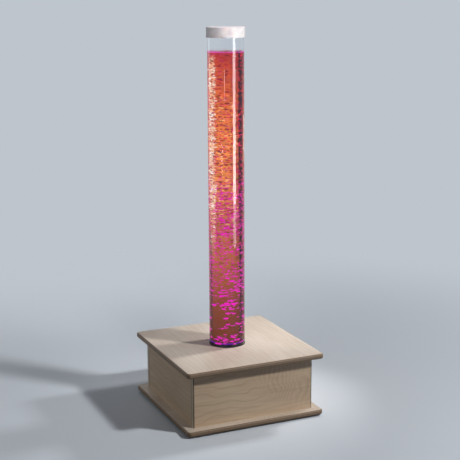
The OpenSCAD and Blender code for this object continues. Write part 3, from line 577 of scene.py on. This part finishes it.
BY_SLOT = {}
for recipe, table in ((wood, WOODS), (metal, METALS), (plastic, PLASTICS)):
    for name, numbers in table.items():
        BY_SLOT[name] = recipe(name, *numbers)
print(len(BY_SLOT), "plain finishes")

# %% [markdown]
# A few more are clear, lit or turned. The hoses are clear soft plastic, and the closing disc under the tube
# is acrylic like the tube. The colour button glows violet, as such buttons do, and the lamp's diodes are lit.
# The white cap has the fine rings of a turned part, and the other white parts share its finish.

# %% Clear, lit and turned finishes
clear_hose = Finish("clear_hose", Base_Color=paint(226, 236, 238), Transmission_Weight=0.85, IOR=1.4)
clear_hose.set(Roughness=0.12 + clear_hose.noise(scale=120, detail=1.0) * 0.2)
BY_SLOT["clear_hose"] = clear_hose.material

ACRYLIC_IOR = 1.49
WATER_IOR = 1.33


def clear(name, bend):
    """A clear material. bend is how much more it bends light than what lies in front of it."""
    return Finish(name, Base_Color=(1, 1, 1, 1), Transmission_Weight=1.0, IOR=bend, Roughness=0.0)


acrylic = clear("acrylic", ACRYLIC_IOR)
smears = acrylic.noise(acrylic.stretched(14, 14, 5), detail=2.0).step(0.3, 0.8)
acrylic.set(Base_Color=smears.mix(paint(254, 254, 255), paint(247, 250, 252)))
BY_SLOT["clear_acrylic"] = acrylic.material

button_finish = Finish("violet_button", Roughness=0.3, Emission_Strength=0.7)
lit_spot = button_finish.noise(scale=260, detail=1.0)
button_finish.set(Base_Color=lit_spot.mix(paint(150, 60, 200), paint(176, 90, 220)))
button_finish.set(Emission_Color=lit_spot.mix(paint(140, 40, 210), paint(190, 90, 235)))
BY_SLOT["violet_plastic"] = button_finish.material

led_finish = Finish("led", Base_Color=paint(240, 230, 190), Roughness=0.3, Emission_Strength=3.0)
led_spot = led_finish.noise(scale=700, detail=1.0)
led_finish.set(Emission_Color=led_spot.mix(paint(255, 60, 210), paint(255, 150, 80)))
BY_SLOT["led"] = led_finish.material

cap_finish = Finish("cap_white", Specular_IOR_Level=0.45, Subsurface_Weight=0.12, Subsurface_Scale=4 * MM)
turned = cap_finish.noise(cap_finish.stretched(45, 45, 900), detail=3.0, rough=0.6)
bloom = cap_finish.noise(cap_finish.stretched(25, 25, 60), detail=2.0)
cap_shade = turned.step(0.3, 0.7) * 0.6 + bloom * 0.4
cap_finish.set(Base_Color=cap_shade.mix(paint(240, 234, 236), paint(214, 204, 208)))
cap_finish.set(Roughness=0.34 + turned * 0.2)
cap_finish.bump(turned, 0.12 * MM, 0.5)
BY_SLOT["white_plastic"] = cap_finish.material

dressed = len(SHEETS)
for node, thing in NODES.items():
    slot_name = thing.material_slots[0].material.name
    if node not in SHEETS and slot_name in BY_SLOT:
        dress(node, BY_SLOT[slot_name])
        dressed += 1
print(dressed, "of", len(NODES), "packed nodes have a finish")

# %% [markdown]
# ## The tube
#
# The real tube is cast acrylic, 100 mm across, with its rim flame polished. Light bends at its curved face,
# so facets would show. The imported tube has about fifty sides, so a finer one takes its place. It is a
# lathe shape: an outline of radius and height, turned round the axis.
#
# Below the water line, the wall's inner face isn't a step from acrylic to air but one from acrylic to water.
# That bends light much less. So those faces get a clear material of their own.


# %% A lathe
SHARPEST_ROUND = math.radians(20)


def lathe(name, outline, sides, material, body="root", closed=True, wave=None, other=None):
    """Turns an outline of (radius, height) round the axis. A radius of 0 closes to a point.

    closed joins the outline's end to its start. wave is a function that moves each point. other is a
    second material, and the number of the band of faces that takes it.
    """
    points, rings = [], []
    for radius, height in outline:
        if radius == 0:
            rings.append([len(points)] * sides)
            points.append((0, 0, height))
            continue
        rings.append(range(len(points), len(points) + sides))
        for side in range(sides):
            angle = 2 * math.pi * side / sides
            out, lift = wave(radius, angle, height) if wave else (radius, height)
            points.append((out * math.cos(angle), out * math.sin(angle), lift))
    faces, bands = [], []
    pairs = list(zip(rings, rings[1:])) + ([(rings[-1], rings[0])] if closed else [])
    for band, (low, high) in enumerate(pairs):
        for side in range(sides):
            after = (side + 1) % sides
            corners = dict.fromkeys((low[side], low[after], high[after], high[side]))
            if len(corners) > 2:
                faces.append(list(corners))
                bands.append(band)
    mesh = bpy.data.meshes.new(name)
    mesh.from_pydata(points, [], faces)
    mesh.polygons.foreach_set("use_smooth", [True] * len(faces))
    mesh.set_sharp_from_angle(angle=SHARPEST_ROUND)
    mesh.materials.append(material)
    if other:
        mesh.materials.append(other[0])
        mesh.polygons.foreach_set("material_index", [int(band == other[1]) for band in bands])
    thing = put(name, mesh)
    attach(thing, body)
    print(name, len(faces), "faces")
    return thing


# %% The polished tube
tube_low, tube_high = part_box("tube")
TUBE_R = tube_high.x
TUBE_FOOT, TUBE_RIM = tube_low.z, tube_high.z
BORE_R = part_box("water")[1].x
WATER_FOOT, WATER_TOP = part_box("water")[0].z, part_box("water")[1].z
POLISH = 0.6 * MM
BEVEL = POLISH * 0.3
TUBE_SIDES = 160

wet_wall = clear("wet_wall", ACRYLIC_IOR / WATER_IOR)
tube_outline = [
    (BORE_R, TUBE_FOOT),
    (TUBE_R, TUBE_FOOT),
    (TUBE_R, TUBE_RIM - POLISH),
    (TUBE_R - BEVEL, TUBE_RIM - BEVEL),
    (TUBE_R - POLISH, TUBE_RIM),
    (BORE_R + POLISH, TUBE_RIM),
    (BORE_R + BEVEL, TUBE_RIM - BEVEL),
    (BORE_R, TUBE_RIM - POLISH),
    (BORE_R, WATER_TOP),
]
wet = (wet_wall.material, len(tube_outline) - 1)
polished_tube = lathe("polished_tube", tube_outline, TUBE_SIDES, acrylic.material, other=wet)
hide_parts("tube")

# %% [markdown]
# ## The water
#
# Water and acrylic bend light almost alike, and that is why the bore can't be seen where there is water
# behind it: the lit water seems to fill the tube to its outer face. The tube's own wet wall stands for the
# step between the two, so the water's side bends nothing. The water's top curls up at the wall, and the
# bubbles that burst there keep it rippled.

# %% The water and its ripples
SKIN_R = BORE_R - 0.02 * MM
STILL_TOP = WATER_TOP - 1.4 * MM
RIPPLE_RINGS = 14
RIPPLE_HEIGHT = 0.5 * MM
CALM_RIM = 4 * MM
CURL_START = 0.86
CURL_HEIGHT = 1.2 * MM


def ripple(radius, angle, height):
    """Small crossing waves on the water's top, and none at its side."""
    if height < WATER_TOP - CALM_RIM:
        return radius, height
    swell = math.sin(radius * 420 + 2 * math.sin(angle * 3)) + 0.6 * math.sin(angle * 7 + radius * 260)
    return radius, height + RIPPLE_HEIGHT * swell * min(1, (SKIN_R - radius) / CALM_RIM)


water_outline = [(0, WATER_FOOT), (SKIN_R, WATER_FOOT), (SKIN_R, WATER_TOP)]
SIDE_BAND = 1
for ring in range(RIPPLE_RINGS):
    share = 1 - (ring + 0.4) / RIPPLE_RINGS
    curl_up = CURL_HEIGHT * max(0, share - CURL_START) / (1 - CURL_START)
    water_outline.append((BORE_R * share, STILL_TOP + curl_up))
water_outline.append((0, STILL_TOP))

clear_water = clear("clear_water", WATER_IOR).material
water_side = (clear("water_side", 1.0).material, SIDE_BAND)
lit_water = lathe(
    "lit_water", water_outline, TUBE_SIDES, clear_water, closed=False, wave=ripple, other=water_side
)
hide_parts("water")

# %% [markdown]
# ## The glowing plume
#
# Thousands of bubbles rise in the middle and catch the light of the lamp below, so the eye doesn't see
# through. It sees a plume that glows: brown and dim at the foot, orange half way up, and red near the top.
# The plume is one lathe shape with a lumpy side. Its light starts as a colour ramp over the height.
#
# Coats of flat bubbles go over that, each from its own scatter of points: a point is a bubble's middle, and
# the space is squeezed, so that what lies near a point is a flat lens. Each coat has two colours, and a
# bubble's own random number says how far it is from one to the other.
#
# The photographed plume isn't the same all round. Its left side is pale and its right edge dark, so two
# stretches of this one are painted over with coats of their own: a painted highlight down the left side,
# and painted shade along the right edge. They are fixed sides of the lamp, given as angles round the axis.
# The side away from the bright side and the left edge of the lower half are painted dim: painted shade too.

# %% The plume's sides and bubbles
PLUME_R = 40 * MM
PLUME_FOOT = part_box("air_stone")[1].z + 1 * MM
PLUME_TOP = WATER_TOP - 4 * MM
# Angles round the axis of the bright side, the painted highlight, the painted shade and the left rim.
BRIGHT_SIDE = math.radians(-146)
PAINTED_LIGHT_SIDE = math.radians(-174)
PAINTED_SHADE_SIDE = math.radians(-52)
LEFT_RIM = math.radians(-188)
BIGGEST_BUBBLE = 0.62
BUBBLE_EDGE = 0.08
ALMOST_NOTHING = 0.1 * MM


def towards(finish, angle):
    """1 on the side that looks at this angle round the axis, and -1 on the far side."""
    x, y = finish.axes()[:2]
    reach = (x * x + y * y) ** 0.5 + ALMOST_NOTHING
    return (x * math.cos(angle) + y * math.sin(angle)) / reach


def flat_bubbles(finish, wide, tall, seed, share, wave=2.0):
    """1 in the bubbles of one coat, and a random number for each.

    wide and tall are the room that each one has, and wave is how far a row strays, in millimetres. share
    is how many of the rooms are taken.
    """
    x, y, z = finish.axes()
    bend = finish.noise(finish.stretched(55, 55, 90), detail=1.0) * wave * MM
    across = 1 / (wide * MM)
    where = finish.pen.point(x * across + seed, y * across, (z + bend) / (tall * MM))
    distance, number = finish.cells(where)
    size = BIGGEST_BUBBLE - (1 - number) * (BIGGEST_BUBBLE / share)
    return (size - distance).step(0.0, BUBBLE_EDGE), number.step(1 - share, 1.0, "LINEAR")


# %% The plume's light
PLUME_LIGHT = [
    (0.00, paint(76, 34, 22)),
    (0.04, paint(108, 50, 32)),
    (0.16, paint(138, 68, 42)),
    (0.30, paint(186, 100, 60)),
    (0.44, paint(188, 106, 60)),
    (0.56, paint(244, 142, 74)),
    (0.68, paint(255, 146, 74)),
    (0.82, paint(238, 118, 54)),
    (0.91, paint(222, 96, 48)),
    (0.97, paint(204, 66, 42)),
    (1.00, paint(190, 34, 44)),
]
CLOUD = paint(124, 58, 36)
# The colours of painted shade on the plume.
FAR_SIDE_SHADE = paint(84, 34, 26)
RIM_SHADE = paint(70, 20, 24)

plume = Finish("plume", Base_Color=(0, 0, 0, 1), Roughness=1.0, Specular_IOR_Level=0.0, Emission_Strength=1.0)
height = (plume.axes()[2] - PLUME_FOOT) / (PLUME_TOP - PLUME_FOOT)
light = plume.pen.node("ShaderNodeValToRGB", {"stops": PLUME_LIGHT}, {0: height})
clouds = plume.noise(plume.stretched(40, 40, 120), detail=3.0).step(0.35, 0.7)
light = (clouds * 0.4).mix(light, CLOUD)
# Painted shade: the light fades away from the bright side, and is dim at the left rim of the lower half.
light = (towards(plume, BRIGHT_SIDE).step(0.96, -0.3) * 0.6).mix(light, FAR_SIDE_SHADE)
left_rim = towards(plume, LEFT_RIM).step(0.97, 0.994) * height.step(0.46, 0.36)
light = (left_rim * 0.8).mix(light, RIM_SHADE)

# %% The coats of bubbles all round
chains = plume.noise(plume.stretched(14, 14, 70), detail=1.0).step(0.4, 0.6)
middle = height.step(0.34, 0.5) * height.step(0.94, 0.78)
above_foot = height.step(0.1, 0.5)
upper = height.step(0.44, 0.6) * (height.step(0.98, 0.84) * 0.6 + 0.4)
lower_middle = height.step(0.11, 0.3) * height.step(0.7, 0.46)
streaming = (chains * 0.3 + 0.7) * (lower_middle + height.step(0.5, 0.7) * 0.2)
bare_side = towards(plume, LEFT_RIM).step(0.9, 0.6)
lower = chains * height.step(0.62, 0.34) * bare_side
COATS = [
    # width and height of a room, seed, share, where, colours
    (13, 5.0, 3.0, 0.60, middle * 0.75, (255, 160, 86), (255, 200, 128)),
    (14, 4.0, 11.0, 0.60, above_foot * 0.9, (168, 36, 30), (84, 8, 20)),
    (9, 3.8, 29.0, 0.50, upper * 0.85, (180, 14, 44), (236, 40, 66)),
    (9, 3.6, 17.0, 0.75, streaming, (104, 12, 70), (224, 16, 150)),
    (12, 4.4, 23.0, 0.75, streaming, (104, 12, 70), (224, 16, 150)),
    (16, 6.0, 41.0, 0.50, lower, (190, 6, 140), (255, 4, 206)),
]
for wide, tall, seed, share, where, first, second in COATS:
    spots, number = flat_bubbles(plume, wide, tall, seed, share)
    light = (spots * where).mix(light, number.mix(paint(*first), paint(*second)))

fines, fine = flat_bubbles(plume, 12, 4.2, 71.0, 0.85)
low_fine = fine.mix(paint(148, 14, 84), paint(214, 22, 128))
high_fine = fine.mix(paint(88, 8, 22), paint(182, 30, 40))
fine_colour = height.step(0.48, 0.66).mix(low_fine, high_fine)
light = (fines * height.step(0.3, 0.42) * 0.8).mix(light, fine_colour)

# %% The painted highlight on the pale side, the painted shade on the dark side, and the foot
ragged = (plume.noise(plume.stretched(45, 45, 330), detail=1.0) - 0.5) * 0.16
# A painted highlight down the pale side, with dark red bubbles across it.
pale = (towards(plume, PAINTED_LIGHT_SIDE) + ragged).step(0.945, 0.975)
pale = pale * height.step(0.28, 0.5) * height.step(1.0, 0.965)
light = (pale * 0.8).mix(light, paint(252, 190, 150))
creams, cream = flat_bubbles(plume, 22, 9.0, 53.0, 1.0, wave=4.0)
light = (pale * creams).mix(light, cream.mix(paint(255, 196, 160), paint(255, 252, 248)))
cuts, cut = flat_bubbles(plume, 16, 4.6, 59.0, 0.95, wave=3.0)
light = (pale * cuts).mix(light, cut.mix(paint(232, 72, 60), paint(120, 12, 26)))

# Painted shade along the dark right edge, with bubbles showing through it.
shade_edge = height.step(0.55, 0.3) * 0.02 + 0.966
dark = (towards(plume, PAINTED_SHADE_SIDE) + ragged * 0.3).step(shade_edge, shade_edge + 0.012)
glints = flat_bubbles(plume, 10, 4.4, 67.0, 0.9)[0]
glint_colour = height.step(0.45, 0.75).mix(paint(190, 8, 116), paint(232, 24, 64))
light = dark.mix(light, glints.mix(paint(46, 8, 26), glint_colour))

VIOLET_FOOT = (0.013, 0.008)
BLACK_FOOT = (0.007, 0.004)
light = height.step(*VIOLET_FOOT).mix(light, paint(92, 4, 150))
light = height.step(*BLACK_FOOT).mix(light, paint(8, 0, 12))
plume.set(Emission_Color=light)
print("the plume's finish has", len(plume.tree.nodes), "nodes")

# %% The plume's shape
PLUME_RINGS = 120
PLUME_SIDES = 96
SHOULDER = 3 * MM
LUMP = 0.5 * MM


def lumps(radius, angle, height):
    """The uneven side of the plume."""
    broad = math.sin(angle * 5 + height * 60) * math.sin(angle * 3 - height * 95)
    return radius + LUMP * (broad + math.sin(angle * 9 + height * 210)), height


plume_outline = [(0, PLUME_FOOT), (PLUME_R, PLUME_FOOT)]
for ring in range(1, PLUME_RINGS):
    share = ring / PLUME_RINGS
    plume_outline.append((PLUME_R, PLUME_FOOT + (PLUME_TOP - PLUME_FOOT - 2 * MM) * share))
plume_outline += [(PLUME_R - SHOULDER, PLUME_TOP), (0, PLUME_TOP)]
lathe("glowing_plume", plume_outline, PLUME_SIDES, plume.material, closed=False, wave=lumps)

# %% [markdown]
# ## The bubbles
#
# In front of the plume, the bubbles are real shapes: flattened balls between the plume and the wall.
# Geometry Nodes scatter them. Each belt of the tube has its own count and sizes, large and few at the foot,
# small and dense higher up. Bubbles rise in groups, which are called chains here: a few of them share one
# random place and spread from it, mostly sideways.
#
# The tree makes points at random places and puts a ball on each. Realize Instances turns the balls into
# plain mesh, because an export leaves instances out.


# %% Geometry Nodes helpers
def new_tree(name, inputs):
    """A Geometry Nodes tree with named inputs, and the wires that bring them in."""
    tree = bpy.data.node_groups.new(name, "GeometryNodeTree")
    tree.interface.new_socket("Geometry", in_out="OUTPUT", socket_type="NodeSocketGeometry")
    for label, kind in inputs.items():
        tree.interface.new_socket(label, in_out="INPUT", socket_type="NodeSocket" + kind)
    entry = tree.nodes.new("NodeGroupInput")
    return tree, {label: Wire(tree, entry.outputs[label]) for label in inputs}


def end_tree(tree, placed, finish):
    """Makes the instances real, gives them their finish, and sends them out."""
    pen = Wire(tree)
    real = pen.node("GeometryNodeRealizeInstances", None, {0: placed})
    painted = pen.node("GeometryNodeSetMaterial", None, {"Geometry": real, "Material": finish})
    leave = tree.nodes.new("NodeGroupOutput")
    tree.links.new(painted.socket, leave.inputs[0])
    return tree


def grow(name, tree, values, body, spots=()):
    """Runs a tree on a mesh of loose points, or of none, and keeps what it made as a plain mesh."""
    start = bpy.data.meshes.new(name + "_start")
    start.from_pydata(spots, [], [])
    thing = put(name, start)
    modifier = thing.modifiers.new(name, "NODES")
    modifier.node_group = tree
    for item in tree.interface.items_tree:
        if item.in_out == "INPUT" and item.name in values:
            modifier[item.identifier] = values[item.name]
    evaluated = thing.evaluated_get(bpy.context.evaluated_depsgraph_get())
    mesh = bpy.data.meshes.new_from_object(evaluated)
    thing.modifiers.clear()
    thing.data = mesh
    mesh.name = name
    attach(thing, body)
    print(name, len(mesh.polygons), "faces")
    return thing


# %% The bubble tree
BUBBLE_INPUTS = {
    "Count": "Int",
    "Chain": "Int",
    "Seed": "Int",
    "Lowest": "Float",
    "Highest": "Float",
    "Inner radius": "Float",
    "Outer radius": "Float",
    "Middle angle": "Float",
    "Half spread": "Float",
    "Chain length": "Float",
    "Smallest": "Float",
    "Largest": "Float",
    "Flatness": "Float",
    "Finish": "Material",
}
# How far a chain scatters up and down and how much it slopes, as shares of its length. How deep a bubble
# is, as a share of its width. How much flatter or rounder one may be, and how far it tips, in radians.
CHAIN_SCATTER = 0.09
CHAIN_SLOPE = 0.08
THICKNESS = 0.55
FLATTER, ROUNDER = 0.75, 1.3
NOD, LEAN = 0.16, 0.12


def bubble_tree():
    """Chains of flattened balls between two radii and two heights."""
    tree, given = new_tree("rising bubbles", BUBBLE_INPUTS)
    pen = Wire(tree)
    own_number = pen.node("GeometryNodeInputIndex")
    chain_number = pen.maths("FLOOR", own_number / given["Chain"])

    def between(low, high, step, number=own_number):
        """A random number. step keeps the draws of one bubble apart."""
        inputs = {2: low, 3: high, "ID": number, "Seed": given["Seed"] + step}
        return pen.node("FunctionNodeRandomValue", {"data_type": "FLOAT"}, inputs, out=1)

    drift = given["Chain length"] * between(-1.0, 1.0, 8)
    angle = given["Middle angle"] + given["Half spread"] * between(-1.0, 1.0, 1, chain_number)
    angle = angle + drift / PLUME_R
    reach = between(given["Inner radius"], given["Outer radius"], 2)
    height = between(given["Lowest"], given["Highest"], 3, chain_number)
    scatter = given["Chain length"] * CHAIN_SCATTER * between(-1.0, 1.0, 9)
    height = height + scatter + drift * CHAIN_SLOPE
    east, north = pen.maths("COSINE", angle) * reach, pen.maths("SINE", angle) * reach
    spot = pen.point(east, north, height)
    points = pen.node("GeometryNodePoints", None, {"Count": given["Count"], "Position": spot})
    faceted = pen.node("GeometryNodeMeshIcoSphere", None, {"Radius": 1.0, "Subdivisions": 2})
    ball = pen.node("GeometryNodeSetShadeSmooth", None, {0: faceted})
    wide = given["Smallest"] + (given["Largest"] - given["Smallest"]) * between(0.0, 1.0, 4) ** 2.0
    flat = wide * given["Flatness"] * between(FLATTER, ROUNDER, 5)
    size = pen.point(wide * THICKNESS, wide, flat)
    tilt = pen.point(between(-NOD, NOD, 6), between(-LEAN, LEAN, 7), angle)
    turn = pen.node("FunctionNodeEulerToRotation", None, {0: tilt})
    inputs = {"Points": points, "Instance": ball, "Rotation": turn, "Scale": size}
    placed = pen.node("GeometryNodeInstanceOnPoints", None, inputs)
    return end_tree(tree, placed, given["Finish"])


# %% The bubbles' light
def bubble_finish(name, bright, dim, rim):
    """A lit bubble: bright where it looks down at the lamp, and dim on top."""
    finish = Finish(name, Base_Color=(0, 0, 0, 1), Roughness=0.4)
    finish.set(Specular_IOR_Level=0.1, Emission_Strength=1.0)
    speckle = finish.noise(finish.stretched(300, 300, 700), detail=1.0)
    looks_up = finish.normal_up()
    colour = (looks_up * 0.5 + speckle * 0.5).step(0.0, 0.75).mix(bright, dim)
    return finish.set(Emission_Color=looks_up.step(0.75, 1.0).mix(colour, rim)).material


magenta = bubble_finish("magenta_bubble", paint(255, 4, 208), paint(232, 6, 176), paint(130, 4, 120))
rose = bubble_finish("rose_bubble", paint(226, 22, 128), paint(190, 14, 96), paint(96, 8, 60))
ember = bubble_finish("ember_bubble", paint(214, 44, 44), paint(150, 22, 30), paint(84, 10, 24))
# Bubbles lit white from the left: a painted highlight.
cream = bubble_finish("lit_cream_bubble", paint(255, 246, 234), paint(252, 200, 160), paint(220, 110, 80))
wine = bubble_finish("wine_bubble", paint(156, 20, 34), paint(116, 12, 24), paint(70, 6, 14))
# Bubbles in shade, painted dark.
shade_bubble = bubble_finish("painted_shade_bubble", paint(44, 6, 40), paint(20, 3, 20), paint(8, 1, 10))

# %% The belts of bubbles
ALL_ROUND = math.pi
BELTS = [
    # name, finish, count, chain, lowest, highest, middle angle, half spread, chain length, sizes, flatness
    # Heights are in metres and angles in radians. Chain lengths and sizes, which are half a bubble's
    # width, are in millimetres.
    ("bubbles_foot", magenta, 600, 6, 0.190, 0.410, 0.0, 2.8, 22, (1.4, 6.5), 0.34),
    ("bubbles_lower", magenta, 1600, 5, 0.340, 0.660, 0.0, ALL_ROUND, 16, (0.9, 3.4), 0.34),
    ("bubbles_rose", rose, 1500, 4, 0.470, 0.880, 0.0, ALL_ROUND, 12, (1.0, 3.2), 0.34),
    ("bubbles_ember", ember, 1000, 4, 0.560, 0.994, 0.0, ALL_ROUND, 12, (1.0, 3.2), 0.34),
    ("bubbles_wine", wine, 1300, 3, 0.480, 0.994, 0.0, ALL_ROUND, 10, (1.0, 3.4), 0.30),
    # The light bubbles on the pale side are a painted highlight.
    ("bubbles_cream", cream, 620, 3, 0.560, 0.985, PAINTED_LIGHT_SIDE, 0.36, 5, (1.0, 4.2), 0.34),
    ("bubbles_pale_side", ember, 320, 2, 0.500, 0.960, PAINTED_LIGHT_SIDE, 0.34, 4, (1.0, 3.8), 0.34),
    # The dark bubbles on the dark side are painted shade.
    ("bubbles_dusk", shade_bubble, 120, 2, 0.200, 0.980, PAINTED_SHADE_SIDE, 0.20, 3, (1.6, 4.6), 0.6),
    ("bubbles_top", wine, 340, 2, 0.915, 0.998, 0.0, ALL_ROUND, 8, (0.8, 2.6), 0.30),
]
PLUME_GAP = 0.2 * MM
WALL_GAP = 0.4 * MM

bubbles = bubble_tree()
for number, belt in enumerate(BELTS):
    name, finish, count, chain, lowest, highest, middle, spread, length, sizes, flatness = belt
    values = {
        "Count": count,
        "Chain": chain,
        "Seed": 100 * number + 7,
        "Lowest": lowest,
        "Highest": highest,
        "Inner radius": PLUME_R + PLUME_GAP,
        "Outer radius": BORE_R - WALL_GAP - sizes[1] * THICKNESS * MM,
        "Middle angle": middle,
        "Half spread": spread,
        "Chain length": length * MM,
        "Smallest": sizes[0] * MM,
        "Largest": sizes[1] * MM,
        "Flatness": flatness,
        "Finish": finish,
    }
    grow(name, bubbles, values, "root")

# %% [markdown]
# At the top, the bubbles gather against the wall before they burst, in a ring of violet froth.

# %% The froth
froth = bubble_finish("froth", paint(232, 96, 200), paint(206, 50, 150), paint(160, 40, 120))
froth_values = {
    "Count": 420,
    "Chain": 1,
    "Seed": 911,
    "Lowest": WATER_TOP - 3.6 * MM,
    "Highest": WATER_TOP - 1.6 * MM,
    "Inner radius": PLUME_R,
    "Outer radius": BORE_R - 1.6 * MM,
    "Middle angle": 0.0,
    "Half spread": ALL_ROUND,
    "Chain length": 0.0,
    "Smallest": 0.9 * MM,
    "Largest": 2.0 * MM,
    "Flatness": 0.5,
    "Finish": froth,
}
grow("froth_ring", bubbles, froth_values, "root")

# %% [markdown]
# ## Screw heads
#
# The small screws at the rear hold the hinges and the control plate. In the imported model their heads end
# flush. A real one stands a little proud, with the cross that the screwdriver fits. So each gets a raised
# head: a low cone, less two crossed bars. The tree puts one on each screw. It finds no screws by itself, so
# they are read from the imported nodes: their axes run along Y, and each is a cluster in X and Z.


# %% Where the heads go
SAME_SCREW = 9 * MM


def screw_spots(node):
    """The middle of each head in a node of small screws, and the radius of a head."""
    screws = []
    for vertex in NODES[node].data.vertices:
        x, z = vertex.co.x, vertex.co.z
        near = [screw for screw in screws if max(abs(screw[0].x - x), abs(screw[0].z - z)) < SAME_SCREW]
        if near:
            near[0].append(vertex.co)
        else:
            screws.append([vertex.co])
    spots = []
    for points in screws:
        xs, ys, zs = zip(*points)
        spots.append(((min(xs) + max(xs)) / 2, max(ys), (min(zs) + max(zs)) / 2))
        radius = (max(xs) - min(xs)) / 2
    return spots, radius


# %% The screw head tree
HEAD_INPUTS = {
    "Spots": "Geometry",
    "Radius": "Float",
    "Height": "Float",
    "Seed": "Int",
    "Finish": "Material",
}
# The top and the bars are shares of the head's radius and height, and the spin is in radians.
HEAD_SIDES = 24
HEAD_TOP = 0.7
BAR_WIDTH = 0.24
BAR_HEIGHT = 1.2
MOST_SPIN = 1.5


def head_tree():
    """Cross heads that look along +Y, on the points of a mesh."""
    tree, given = new_tree("cross heads", HEAD_INPUTS)
    pen = Wire(tree)
    radius, height = given["Radius"], given["Height"]
    top = radius * HEAD_TOP
    sizes = {"Vertices": HEAD_SIDES, "Radius Top": top, "Radius Bottom": radius, "Depth": height}
    cone = pen.node("GeometryNodeMeshCone", None, sizes)
    bars = []
    for long, short in ((1.0, BAR_WIDTH), (BAR_WIDTH, 1.0)):
        size = pen.point(radius * long, radius * short, height * BAR_HEIGHT)
        bar = pen.node("GeometryNodeMeshCube", None, {"Size": size})
        lift = pen.point(0.0, 0.0, height)
        bars.append(pen.node("GeometryNodeTransform", None, {"Geometry": bar, "Translation": lift}))
    parts = {"Mesh 1": cone, "Mesh 2": bars[0]}
    cut = pen.node("GeometryNodeMeshBoolean", {"operation": "DIFFERENCE"}, parts)
    # The boolean's second input takes more than one mesh, so the other bar is linked there as well.
    tree.links.new(bars[1].socket, cut.socket.node.inputs["Mesh 2"])
    points = pen.node("GeometryNodeMeshToPoints", None, {"Mesh": given["Spots"]})
    draw = {2: 0.0, 3: MOST_SPIN, "Seed": given["Seed"]}
    spin = pen.node("FunctionNodeRandomValue", {"data_type": "FLOAT"}, draw, out=1)
    angles = pen.point(-math.pi / 2, spin, 0.0)
    turn = pen.node("FunctionNodeEulerToRotation", None, {0: angles})
    inputs = {"Points": points, "Instance": cut, "Rotation": turn}
    placed = pen.node("GeometryNodeInstanceOnPoints", None, inputs)
    return end_tree(tree, placed, given["Finish"])


# %% The heads at the rear
HEAD_HEIGHT = 0.6 * MM
HEADS = [
    # name, node of the screws, body, seed
    ("panel_heads", "rear_panel_screws", "root", 3),
    ("door_heads", "door_screws", "door", 5),
]

cross_heads = head_tree()
for name, node, body, seed in HEADS:
    spots, head_radius = screw_spots(node)
    print(node, len(spots), "heads of radius", round(head_radius, 5))
    values = {"Radius": head_radius, "Height": HEAD_HEIGHT, "Seed": seed, "Finish": BY_SLOT["zinc_steel"]}
    grow(name, cross_heads, values, body, spots)

# %% [markdown]
# ## Colour as it is written
#
# The Standard view shows a colour as it was mixed.

# %% The view
bpy.context.scene.view_settings.view_transform = "Standard"
bpy.context.view_layer.update()
